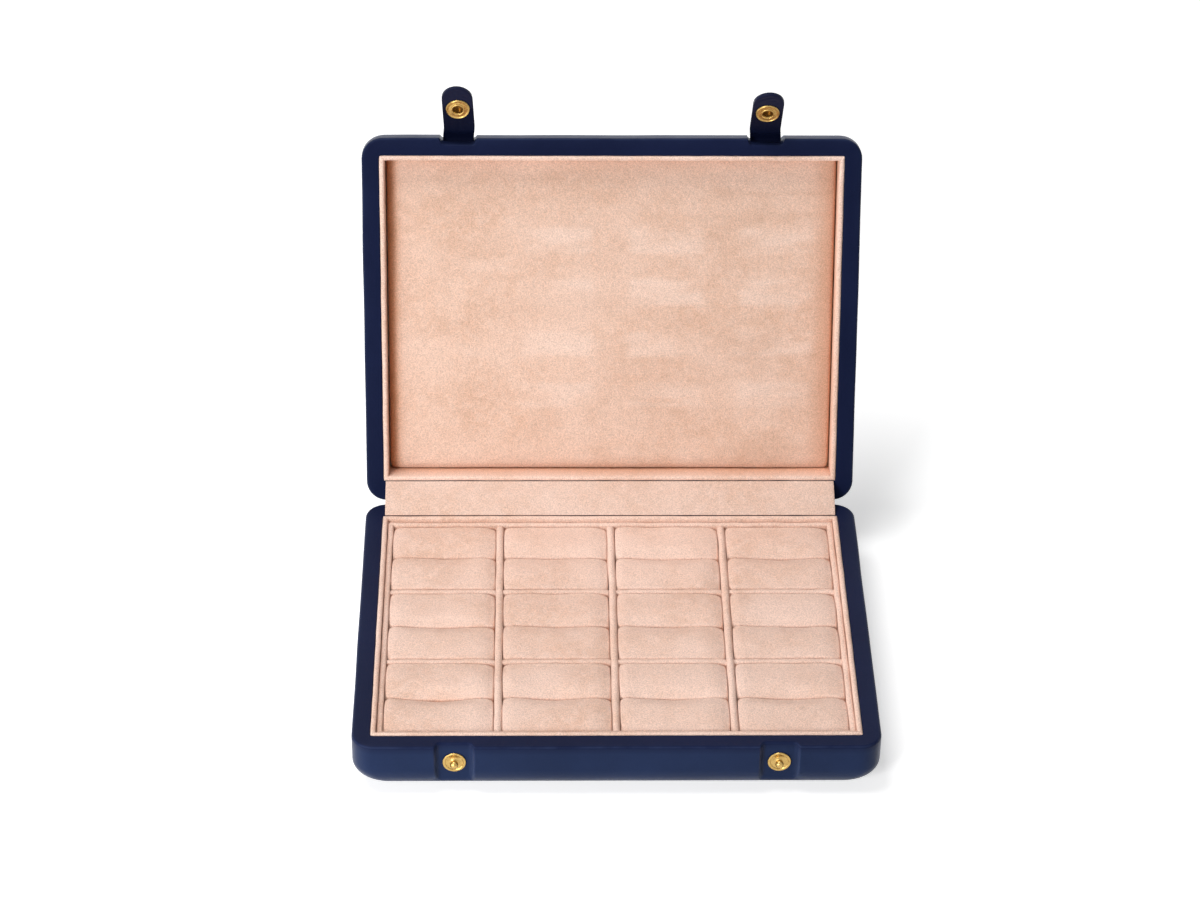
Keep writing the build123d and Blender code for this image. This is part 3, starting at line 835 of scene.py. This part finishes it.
def make_studs():
    """Dished flange with a rolled rim, a low boss and a ball post."""
    profile = [(0.0, 3.9)] + arc_points((0, 2.0), 1.9, 90, -42.5, 12)[1:]
    profile += [(1.4, 0.95), (1.75, 0.72), (2.45, 0.34), (2.9, 0.3), (3.75, 0.3), (3.95, 0.36)]
    profile += [(4.2, 0.68), (4.38, 0.79), (4.62, 0.82), (4.95, 0.8), (5.2, 0.66), (5.3, 0.42)]
    profile += [(5.1, 0.02), (1.6, 0.02), (1.6, -5.0), (0.0, -5.0)]
    for side, name in SIDES:
        place = Matrix.Translation(Vector((side * TAB_X, FRONT + RECESS_DEPTH, SNAP_Z)) * MM)
        stud = turned("stud_" + name, profile, place, BRASS)
        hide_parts("snap_stud_" + name)
        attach(stud, "base")


def make_spring(name, lean, place):
    """One of the two bowed wires that grip the ball inside a socket."""
    bpy.ops.mesh.primitive_cylinder_add(vertices=12, radius=SPRING_RADIUS * MM, depth=SPRING_LENGTH * MM)
    wire = bpy.context.object
    wire.name = name
    start_edit(wire)
    bpy.ops.mesh.select_all(action="SELECT")
    bpy.ops.mesh.subdivide(number_cuts=6)
    end_edit()

    def bow(p):
        out = lean * (SPRING_APART - SPRING_BOW * p.z * p.z)
        return Vector((out + p.x, p.y - SPRING_DEPTH, p.z))

    move_points(wire, bow)
    smooth(wire, 50.0)
    wire.data.transform(place)
    dress(wire, DARK_BRASS)
    return wire


def make_sockets():
    """Socket ring with a beaded edge, a pecked trough and a domed lip, a dark well and two springs."""
    lip = arc_points((2.95, -0.62), 0.42, 180, 360, 8)
    ring = [(2.35, 1.9), (2.35, -0.3), (2.42, -0.5)] + lip + [(3.75, -0.58), (4.1, -0.5), (4.8, -0.46)]
    ring += [(4.98, -0.52), (5.1, -0.68), (5.32, -0.74), (5.55, -0.62), (5.7, -0.34), (5.7, 0.0)]
    ring += [(2.85, 0.0), (2.85, 1.9), (2.35, 1.9)]
    well = [(0.0, 1.75), (2.33, 1.75), (2.33, 1.95), (0.0, 1.95)]
    cap = [(0.0, 1.2), (1.5, 1.13), (3.0, 0.93), (4.4, 0.68), (5.5, 0.45), (6.05, 0.28), (6.2, 0.1)]
    cap += [(6.1, 0.0), (2.3, 0.0), (2.3, -0.2), (0.0, -0.2)]
    for side, name in SIDES:
        place = on_tab(side, TAB_THICKNESS / 2)
        socket = turned("socket_" + name, ring, place, BRASS)
        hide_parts("snap_socket_" + name)
        bottom = turned("socket_well_" + name, well, place, DARK_BRASS)
        springs = [
            make_spring("socket_spring_%s_%s" % (name, end), lean, place)
            for lean, end in SIDES
        ]
        button = turned("cap_" + name, cap, on_tab(side, -TAB_THICKNESS / 2), BRASS)
        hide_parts("snap_cap_" + name)
        for piece in (socket, bottom, *springs, button):
            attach(piece, "tab_" + name)


make_studs()
make_sockets()


# Leather tabs

def block(name, x, y, z):
    """A box between limits in mm, each axis given as (low, high)."""
    middle = Vector((sum(x) / 2, sum(y) / 2, sum(z) / 2)) * MM
    bpy.ops.mesh.primitive_cube_add(size=1.0, location=middle)
    obj = bpy.context.object
    obj.name = name
    obj.scale = ((x[1] - x[0]) * MM, (y[1] - y[0]) * MM, (z[1] - z[0]) * MM)
    bpy.ops.object.transform_apply(location=True, rotation=True, scale=True)
    return obj


def divide(obj, axis, cuts, limit):
    """Cuts the edges that run along one axis, those longer than the limit in mm."""
    start_edit(obj)
    pick(obj, "EDGE", lambda m, d: abs(d[axis]) > max(limit, 0.9 * d.length))
    bpy.ops.mesh.subdivide(number_cuts=cuts)
    end_edit()


def strap_path(s, tilt):
    """Middle line of a strap in its shut frame, relative to its axis: out of the slit, then straight."""
    a = math.radians(tilt)
    if s <= 0:
        return Vector((0, -s, 0)), Vector((0, 0, -1))
    turn = math.radians(90) - a
    middle = math.radians(90) - turn * min(1.0, s / TAB_BEND)
    if s < TAB_BEND:
        along = Vector((0, -math.sin(middle), -math.cos(middle)))
    else:
        along = Vector((0, -math.sin(a), -math.cos(a)))
    face = Vector((0, math.cos(middle), -math.sin(middle)))
    return along * s, face


def crease_depth(x, s, side):
    """How deep the creases press a strap in, at x across and s along it."""
    depth = 0.0
    for cx, cs, turn, length in CREASES[side]:
        u = (x - cx) * math.cos(turn) + (s - cs) * math.sin(turn)
        w = (s - cs) * math.cos(turn) - (x - cx) * math.sin(turn)
        depth += CREASE_DEPTH * math.exp(-(w / CREASE_WIDTH) ** 2) * step_up(1 - abs(u) / length)
    return depth


def flat_strap(name):
    """A strap before it is shaped: along +Y from its root inside the slit, with the socket's hole."""
    half = TAB_WIDTH / 2
    thick = TAB_THICKNESS / 2
    strap = block(name, (-half, half), (0.0, TAB_LENGTH + TAB_ROOT), (-thick, thick))
    divide(strap, 1, 56, 5.0)
    divide(strap, 0, 21, 5.0)
    sharp = math.radians(60)
    modifier(strap, "BEVEL", width=TAB_ROUND * MM, segments=3, limit_method="ANGLE", angle_limit=sharp)
    middle = Vector((0, SOCKET_REACH + TAB_ROOT, 0)) * MM
    depth = 3 * TAB_THICKNESS * MM
    bpy.ops.mesh.primitive_cylinder_add(vertices=32, radius=TAB_HOLE * MM, depth=depth, location=middle)
    punch = bpy.context.object
    modifier(strap, "BOOLEAN", operation="DIFFERENCE", object=punch, solver="EXACT")
    bpy.data.objects.remove(punch)
    return strap


def make_tabs():
    """Wrapped leather straps with a butt seam inside, a rounded tongue and a few creases."""
    half = TAB_WIDTH / 2
    for side, name in SIDES:
        strap = flat_strap("strap_" + name)
        lean = math.radians(LEAN[side])
        at = waver(0.22, 9.0, 2.3 * side)

        def shape(p):
            s = p.y - TAB_ROOT
            tongue = TAB_LENGTH - half + math.sqrt(max(0.0, half * half - min(half, abs(p.x)) ** 2))
            if s > 0:
                s = s * tongue / TAB_LENGTH
            t = p.z
            if t > 0:
                seam = step_up((s - 1.0) / 2.0) * (1 - step_up((s - 12.0) / 2.0))
                t -= SEAM_DEPTH * seam * math.exp(-(p.x / SEAM_WIDTH) ** 2)
            t -= math.copysign(crease_depth(p.x, s, side), t)
            t += 0.5 * at((p.x, s, 0)).z * step_up(s / 10.0)
            place, face = strap_path(s, REST_TILT[side])
            x = p.x + math.tan(lean) * (s - SOCKET_REACH) * step_up(s / 9.0)
            return Vector((x, place.y, place.z)) + face * t

        # painted shade: the strap is darker at the root and gets a lighter tone towards the end
        mark(strap, "outside", lambda p: step_up((p.y - TAB_ROOT - 21.0) / 5.0))
        move_points(strap, shape)
        smooth(strap, 40.0)
        here = OPEN @ Matrix.Translation(Vector((side * TAB_X, TAB_AXIS_Y, TAB_AXIS_Z)) * MM)
        strap.data.transform(here)
        strap.data.update()
        dress(strap, SHADED_STRAP_LEATHER)
        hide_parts("tab_" + name)
        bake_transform(strap)


make_tabs()


# Suede-covered card: liners and tray bars

def soften(obj, amount, scale, seed, floor):
    """Small unevenness of hand-wrapped suede; points below the floor stay."""
    at = waver(amount, scale, seed)
    move_points(obj, lambda p: p + at(p) if p.z > floor else p)


def four_sides(x, y, width):
    """Four bars that frame a rectangle: name, x and y limits, axis they run along, inner, outer face."""
    return (
        ("front", x, (y[0], y[0] + width), 0, y[0] + width, y[0]),
        ("back", x, (y[1] - width, y[1]), 0, y[1] - width, y[1]),
        ("left", (x[0], x[0] + width), y, 1, x[0] + width, x[0]),
        ("right", (x[1] - width, x[1]), y, 1, x[1] - width, x[1]),
    )


def wrapped_bar(name, x, y, z, run, edge, cuts, ends=0.0):
    """Card bar wrapped in suede: long upper edges rounded, ends turned down where ends is given."""
    bar = block(name, x, y, z)
    divide(bar, run, cuts, 3.0)
    start_edit(bar)
    across = 1 - run
    top = z[1]
    near = lambda m, d: abs(m.z - top) < 0.01 and abs(d[across]) < 0.01
    pick(bar, "EDGE", lambda m, d: near(m, d) and abs(d.z) < 0.01)
    bpy.ops.mesh.bevel(offset=edge * MM, segments=5, affect="EDGES", profile=0.5)
    end_edit()
    if ends > 0:
        low, high = (x, y)[run]

        def turn_down(p):
            inside = min(p[run] - low, high - p[run])
            share = 1 - step_up(inside / (2.5 * ends))
            if p.z > top - 2 * edge:
                p.z -= ends * share
            return p

        move_points(bar, turn_down)
    return bar


def mitre(obj, run, inner, outer, half_low, half_high):
    """Slants a bar's ends at 45 degrees, so that it meets its neighbours at a corner."""
    across = 1 - run

    def change(p):
        depth = abs(p[across] - outer) / abs(inner - outer)
        width = abs(inner - outer)
        middle = (half_low + half_high) / 2
        length = (half_high - half_low) / 2
        p[run] = middle + (p[run] - middle) * (length - width * depth) / length
        return p

    move_points(obj, change)


def make_liners():
    x_all, y_all = (-MOUTH_HALF, MOUTH_HALF), (MOUTH_FRONT, MOUTH_BACK)
    # the lid's liners are made upside down, rim up, and turned over
    halves = (
        ("base", (BASE_FLOOR, BASE_HEIGHT + 0.4), 1.3),
        ("lid", (-LID_CEILING, 0.3 - LID_RIM), 5.9),
    )
    for half, z, seed in halves:
        for side, x, y, run, near, far in four_sides(x_all, y_all, LINER):
            bar = wrapped_bar("%s_liner_%s_suede" % (half, side), x, y, z, run, 1.05, 70)
            mitre(bar, run, near, far, *((x_all, y_all)[run]))
            soften(bar, 0.16, 11.0, seed, z[1] - 2.5)
            # painted shade on the liners below their top
            mark(bar, "painted_shade", lambda p: 1 - step_up((p.z - z[1] + 4.5) / 3.5))
            if half == "lid":
                bar.data.transform(Matrix.Diagonal((1, 1, -1, 1)))
                bar.data.flip_normals()
                open_up(bar)
            smooth(bar, 50.0)
            dress(bar, SUEDE)
            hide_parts("%s_liner_%s" % (half, side))
            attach(bar, half)


def join(parts, name):
    activate(parts[0])
    for part in parts[1:]:
        part.select_set(True)
    bpy.ops.object.join()
    parts[0].name = name
    return parts[0]


def make_rails():
    low, high = box_mm("tray_frame")
    x, y, z = zip(low, high)
    rails = []
    for side, bx, by, run, near, far in four_sides(x, y, RAIL):
        bar = wrapped_bar("tray_rail_" + side, bx, by, z, run, 1.15, 70)
        mitre(bar, run, near, far, *((x, y)[run]))
        soften(bar, 0.22, 9.0, 2.2, z[1] - 3.0)
        rails.append(bar)
    return join(rails, "tray_rails")


def make_cross_bars(node, number):
    """Four short bars in one row, between the dividers."""
    low, high = box_mm(node)
    x, y, z = zip(low, high)
    span = (x[1] - x[0] - 3 * DIVIDER) / 4
    short = []
    for column in range(4):
        start = x[0] + column * (span + DIVIDER)
        bar = wrapped_bar("cross", (start, start + span), y, z, 0, 1.3, 24, 0.5)
        soften(bar, 0.28, 8.0, 9.0 + number + column, z[1] - 3.0)
        short.append(bar)
    return join(short, node + "_suede")


def make_tray():
    bars = [(make_rails(), "tray_frame")]
    for number, name in enumerate(("left", "middle", "right")):
        node = "tray_divider_" + name
        low, high = box_mm(node)
        x, y, z = zip(low, high)
        bar = wrapped_bar(node + "_suede", x, y, z, 1, 1.75, 80, 0.9)
        soften(bar, 0.30, 12.0, 4.0 + number, z[1] - 3.5)
        bars.append((bar, node))
    for number, name in enumerate(("front", "back")):
        node = "tray_cross_" + name
        bars.append((make_cross_bars(node, number), node))
    for obj, node in bars:
        # painted shade on the bars low down between the pads
        mark(obj, "painted_shade", lambda p: 1 - step_up((p.z - SHADE_LOW) / SHADE_RISE))
        smooth(obj, 50.0)
        dress(obj, SUEDE)
        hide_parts(node)
        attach(obj, "base")


make_liners()
make_tray()


# Padded pieces

def solid_copy(node, name, voxel, back=None):
    """An evenly meshed copy of a CAD solid, brought back by a matrix if one is given."""
    obj = bpy.data.objects.new(name, frame["nodes"][node].data.copy())
    scene.collection.objects.link(obj)
    if back is not None:
        obj.data.transform(back)
    start_edit(obj)
    bpy.ops.mesh.select_all(action="SELECT")
    bpy.ops.mesh.remove_doubles(threshold=0.000005)
    end_edit()
    obj.data.remesh_voxel_size = voxel * MM
    obj.data.use_remesh_fix_poles = False
    activate(obj)
    bpy.ops.object.voxel_remesh()
    return obj


def swell(obj, held, pressure):
    """Inflates a pad as cloth round its filling. Points that held() names stay; none passes the cap."""
    rest = [v.co.copy() for v in obj.data.vertices]
    group = obj.vertex_groups.new(name="held")
    group.add([i for i, co in enumerate(rest) if held(co / MM)], 1.0, "REPLACE")
    cloth = obj.modifiers.new("cloth", "CLOTH")
    cloth.settings.use_pressure = True
    cloth.settings.uniform_pressure_force = pressure
    cloth.settings.effector_weights.gravity = 0.0
    cloth.settings.vertex_group_mass = "held"
    cloth.settings.tension_stiffness = 25.0
    cloth.settings.compression_stiffness = 25.0
    cloth.settings.bending_stiffness = 0.6
    cloth.settings.mass = 0.2
    cloth.settings.quality = 6
    cloth.point_cache.frame_start = 1
    cloth.point_cache.frame_end = SWELL_FRAMES
    for number in range(1, SWELL_FRAMES + 1):
        scene.frame_set(number)
    swollen = obj.evaluated_get(bpy.context.evaluated_depsgraph_get()).to_mesh()
    moved = [v.co.copy() for v in swollen.vertices]
    obj.evaluated_get(bpy.context.evaluated_depsgraph_get()).to_mesh_clear()
    obj.modifiers.clear()
    obj.vertex_groups.clear()
    scene.frame_set(1)
    for v, a, b in zip(obj.data.vertices, rest, moved):
        step = b - a
        if step.length > SWELL_CAP * MM:
            step = step.normalized() * SWELL_CAP * MM
        v.co = a + step
    obj.data.update()


def relax(obj, turns):
    modifier(obj, "SMOOTH", factor=0.5, iterations=turns)


def square_up(p, half_x, half_y, top):
    """Fills out a pad's rounded edges and corners, so that it meets the bars with only a thin line."""
    low = Vector((half_x - PAD_ROUND, half_y - PAD_ROUND, top - PAD_ROUND))
    over = [max(0.0, value - start) / PAD_ROUND for value, start in zip((abs(p.x), abs(p.y), p.z), low)]
    round_reach = math.sqrt(sum(u * u for u in over))
    square_reach = sum(u**5 for u in over) ** 0.2
    if square_reach < 1e-6:
        return p
    grow = min(round_reach / square_reach, 1.35)
    new = [start + u * grow * PAD_ROUND if u > 0 else value
           for value, start, u in zip((abs(p.x), abs(p.y), p.z), low, over)]
    return Vector((math.copysign(new[0], p.x), math.copysign(new[1], p.y), new[2]))


def make_pad_forms():
    """A pad behind a slit and one in front of it, both simulated, about their own middle."""
    forms = {}
    for half_row, node in ((1, "ring_pad_10"), (-1, "ring_pad_14")):
        obj = solid_copy(node, "pad_form", PAD_VOXEL)
        low, high = box_mm(node)
        middle = (low + high) / 2
        move_points(obj, lambda p: p - Vector((middle.x, middle.y, 0)))
        swell(obj, lambda p: p.z < low.z + 6.0, 3.0)
        relax(obj, 1)
        forms[half_row] = (obj, high.z)
    return forms


def make_pads():
    """Twenty-four ring pads: each a copy of one of two forms, with its own unevenness and sag."""
    forms = make_pad_forms()
    for number in range(24):
        half_row = 1 if (number // 4) % 2 == 0 else -1
        form, top = forms[half_row]
        node = "ring_pad_%02d" % (number + 1)
        low, high = box_mm(node)
        middle = (low + high) / 2
        pad = bpy.data.objects.new("pad_%02d" % (number + 1), form.data.copy())
        scene.collection.objects.link(pad)
        at = waver(0.55, 13.0, 1.9 * number)
        dent = waver(0.9, 26.0, 40.0 + 2.3 * number)
        half_x, half_y = (high.x - low.x) / 2, (high.y - low.y) / 2
        sag = SLIT_SAG[number // 8][number % 4]

        def shape(p):
            p = square_up(p, half_x, half_y, top - PAD_CROWN)
            share = step_up((p.z - PAD_STILL) / PAD_RISE)
            shift = at(p)
            lip = step_up((SLIT_REACH - half_y - half_row * p.y) / SLIT_REACH)
            drop = sag * lip * (1 - min(1.0, abs(p.x) / half_x) ** 2)
            drop += RIGHT_DROP * step_up((p.x - half_x + RIGHT_REACH) / RIGHT_REACH)
            p = p + Vector((0.3 * shift.x, 0.5 * shift.y, 0.7 * shift.z - drop)) * share
            p.z += (dent(p).z - 0.2) * 0.4 * share
            p.x = max(-half_x - 0.15, min(half_x + 0.15, p.x))
            p.y = max(-half_y - 0.12, min(half_y + 0.12, p.y))
            return p + Vector((middle.x, middle.y, 0))

        move_points(pad, shape)
        modifier(pad, "SUBSURF", levels=1, render_levels=1)
        # painted shade on the pads low down by the bars
        mark(pad, "painted_shade", lambda p: 1 - step_up((p.z - SHADE_LOW) / SHADE_RISE))
        smooth(pad, 180.0)
        dress(pad, SUEDE)
        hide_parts(node)
        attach(pad, "base")
    for form, top in forms.values():
        bpy.data.objects.remove(form)


def make_lid_pad():
    """The lid's padded panel, simulated shut and then opened."""
    pad = solid_copy("lid_pad", "lid_panel_pad", PANEL_VOXEL, OPEN.inverted())
    swell(pad, lambda p: p.z > PANEL_BOARD - 1.6, 1.2)
    relax(pad, 3)
    slow = waver(0.75, 42.0, 12.5)
    small = waver(0.28, 15.0, 31.0)
    edge_x = MOUTH_HALF - LINER - PANEL_PLAY
    low_y = MOUTH_FRONT + LINER + PANEL_PLAY
    high_y = MOUTH_BACK - LINER - PANEL_PLAY

    def shape(p):
        share = step_up((PANEL_BOARD - 1.0 - p.z) / 3.0)
        p = p + (Vector((0, 0, slow(p).z)) + small(p) * 0.7) * share
        p.x = max(-edge_x, min(edge_x, p.x))
        p.y = max(low_y, min(high_y, p.y))
        return p

    move_points(pad, shape)
    modifier(pad, "SUBSURF", levels=1, render_levels=1)
    # painted shade on the panel: a wide band along the left side where the left liner's shadow falls,
    # and a narrow one along the right edge
    left = lambda p: step_up((-p.x - edge_x + 9.0) / 8.6) ** 1.4
    right = lambda p: 0.4 * step_up((p.x - edge_x + 2.6) / 2.2)
    mark(pad, "painted_shade", lambda p: left(p) if p.x < 0 else right(p))
    smooth(pad, 180.0)
    open_up(pad)
    dress(pad, PANEL_SUEDE)
    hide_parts("lid_pad")
    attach(pad, "lid")


make_pads()
make_lid_pad()


# Across the hinge

def ribbon(name, path, thickness, columns, material):
    """A sheet across the case that follows a path of (y, z) points in mm, its face on their left."""
    bpy.ops.mesh.primitive_grid_add(x_subdivisions=columns, y_subdivisions=len(path) - 1, size=1.0)
    obj = bpy.context.object
    obj.name = name

    def lay(p):
        u = p.x * MM
        row = round((p.y * MM + 0.5) * (len(path) - 1))
        return Vector((2 * BAND_HALF * u, path[row][0], path[row][1]))

    move_points(obj, lay)
    modifier(obj, "SOLIDIFY", thickness=thickness * MM, offset=0.0, use_even_offset=True)
    sharp = math.radians(50)
    modifier(obj, "BEVEL", width=0.2 * MM, segments=2, limit_method="ANGLE", angle_limit=sharp)
    dress(obj, material)
    return obj


def opened(y, z):
    point = OPEN @ (Vector((0, y, z)) * MM) / MM
    return (point.y, point.z)


def make_strip():
    """Suede between the two mouths, slightly bulged."""
    start = (MOUTH_BACK + 0.15, BASE_HEIGHT + 0.3)
    end = opened(MOUTH_BACK + 0.15, LID_RIM - 0.3)
    path = []
    for i in range(STRIP_ROWS + 1):
        t = i / STRIP_ROWS
        bulge = STRIP_BULGE * math.sin(math.pi * t)
        y = start[0] + (end[0] - start[0]) * t - 0.39 * bulge
        z = start[1] + (end[1] - start[1]) * t + 0.92 * bulge
        path.append((y, z))
    strip = ribbon("strip_suede", path, STRIP_THICKNESS, 120, STRIP_SUEDE)
    at = waver(0.35, 16.0, 6.6)
    inside = lambda p: step_up((p.y - start[0]) / 3.0) * step_up((end[0] - p.y) / 3.0)
    move_points(strip, lambda p: p + Vector((0, 0, 1.0)) * at(p).z * inside(p))
    smooth(strip, 50.0)
    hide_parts("hinge_strip")
    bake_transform(strip)


def make_spine():
    """Leather from the base's back wall round the fold and onto the lid's rounded back."""
    wall = HINGE_Y - SPINE_OFF
    path = [(wall, z) for z in (14.6, 16.5, 18.5, 20.5, 22.5, 24.3)]
    for i in range(SPINE_TURNS + 1):
        a = math.radians(180 - OPEN_ANGLE * i / SPINE_TURNS)
        path.append((HINGE_Y + SPINE_OFF * math.cos(a), HINGE_Z + SPINE_OFF * math.sin(a)))
    bend = LID_TOP - LID_EDGE
    for z in (28.0, 30.0, bend):
        path.append(opened(wall, z))
    reach = SPINE_ON_LID - (bend - LID_RIM)
    radius = LID_EDGE + wall - BACK
    for i in range(1, 6):
        a = reach * i / 5 / LID_EDGE
        path.append(opened(BACK - LID_EDGE + radius * math.cos(a), bend + radius * math.sin(a)))
    spine = ribbon("spine_leather", path, SPINE_THICKNESS, 60, LEATHER)
    # the spine takes the painted light of the outside walls
    mark(spine, "outside", lambda p: 1.0)
    smooth(spine, 50.0)
    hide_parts("hinge_spine")
    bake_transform(spine)


make_strip()
make_spine()


# Light, floor and the file's last lines

def make_floor():
    """A white floor that keeps the case's shadow near it and is plain white further out."""
    bpy.ops.mesh.primitive_plane_add(size=6.0, location=(0, 0, -0.0002))
    floor = bpy.context.object
    floor.name = "floor"
    n = Nodes("floor")
    ray = n.tree.nodes.new("ShaderNodeLightPath")
    seen = n.math("MAXIMUM", ray.outputs["Is Camera Ray"], ray.outputs["Is Glossy Ray"])
    n.set(Roughness=1.0, Specular_IOR_Level=0.0)
    n.shader.inputs["Base Color"].default_value = (FLOOR_TONE, FLOOR_TONE, FLOOR_TONE, 1.0)
    n.shader.inputs["Emission Color"].default_value = (1.0, 1.0, 1.0, 1.0)
    reach = n.tree.nodes.new("ShaderNodeVectorMath")
    reach.operation = "LENGTH"
    n.link(n.place, reach.inputs[0])
    glow = n.grey(reach.outputs["Value"], WHITE_FROM, WHITE_AT, FLOOR_GLOW, 1.0)
    n.link(n.times(seen, glow), n.shader.inputs["Emission Strength"])
    floor.data.materials.append(n.material)


def make_world():
    """White behind the case and in its reflections, dim as a light."""
    world = bpy.data.worlds.new("studio")
    scene.world = world
    world.use_nodes = True
    tree = world.node_tree
    back = tree.nodes["Background"]
    back.inputs["Color"].default_value = (1.0, 1.0, 1.0, 1.0)
    ray = tree.nodes.new("ShaderNodeLightPath")
    seen = ray.outputs["Is Camera Ray"]
    for other in ("Is Glossy Ray", "Is Transmission Ray"):
        either = tree.nodes.new("ShaderNodeMath")
        either.operation = "MAXIMUM"
        tree.links.new(seen, either.inputs[0])
        tree.links.new(ray.outputs[other], either.inputs[1])
        seen = either.outputs["Value"]
    strength = tree.nodes.new("ShaderNodeMapRange")
    strength.inputs["To Min"].default_value = WORLD_LIGHT
    strength.inputs["To Max"].default_value = 1.0
    tree.links.new(seen, strength.inputs["Value"])
    tree.links.new(strength.outputs["Result"], back.inputs["Strength"])


def area_light(name, place, aim, size, power):
    data = bpy.data.lights.new(name, "AREA")
    data.shape = "RECTANGLE"
    data.size, data.size_y = size
    data.energy = power
    lamp = bpy.data.objects.new(name, data)
    scene.collection.objects.link(lamp)
    lamp.location = place
    lamp.visible_camera = False
    lamp.rotation_euler = (Vector(aim) - Vector(place)).to_track_quat("-Z", "Y").to_euler()


make_floor()
make_world()
for lamp in LAMPS:
    area_light(*lamp)

# the solids that no piece replaces
slot_of = {row["node"]: row["material_slot"] for row in frame["record"]["subparts"]}
finish_of = {
    "navy_leather": LEATHER, "blush_suede": SUEDE, "brass": BRASS, "wood": WOOD, "card": CARD,
}
for name, node in frame["nodes"].items():
    node.data.materials.clear()
    node.data.materials.append(finish_of[slot_of[name]])
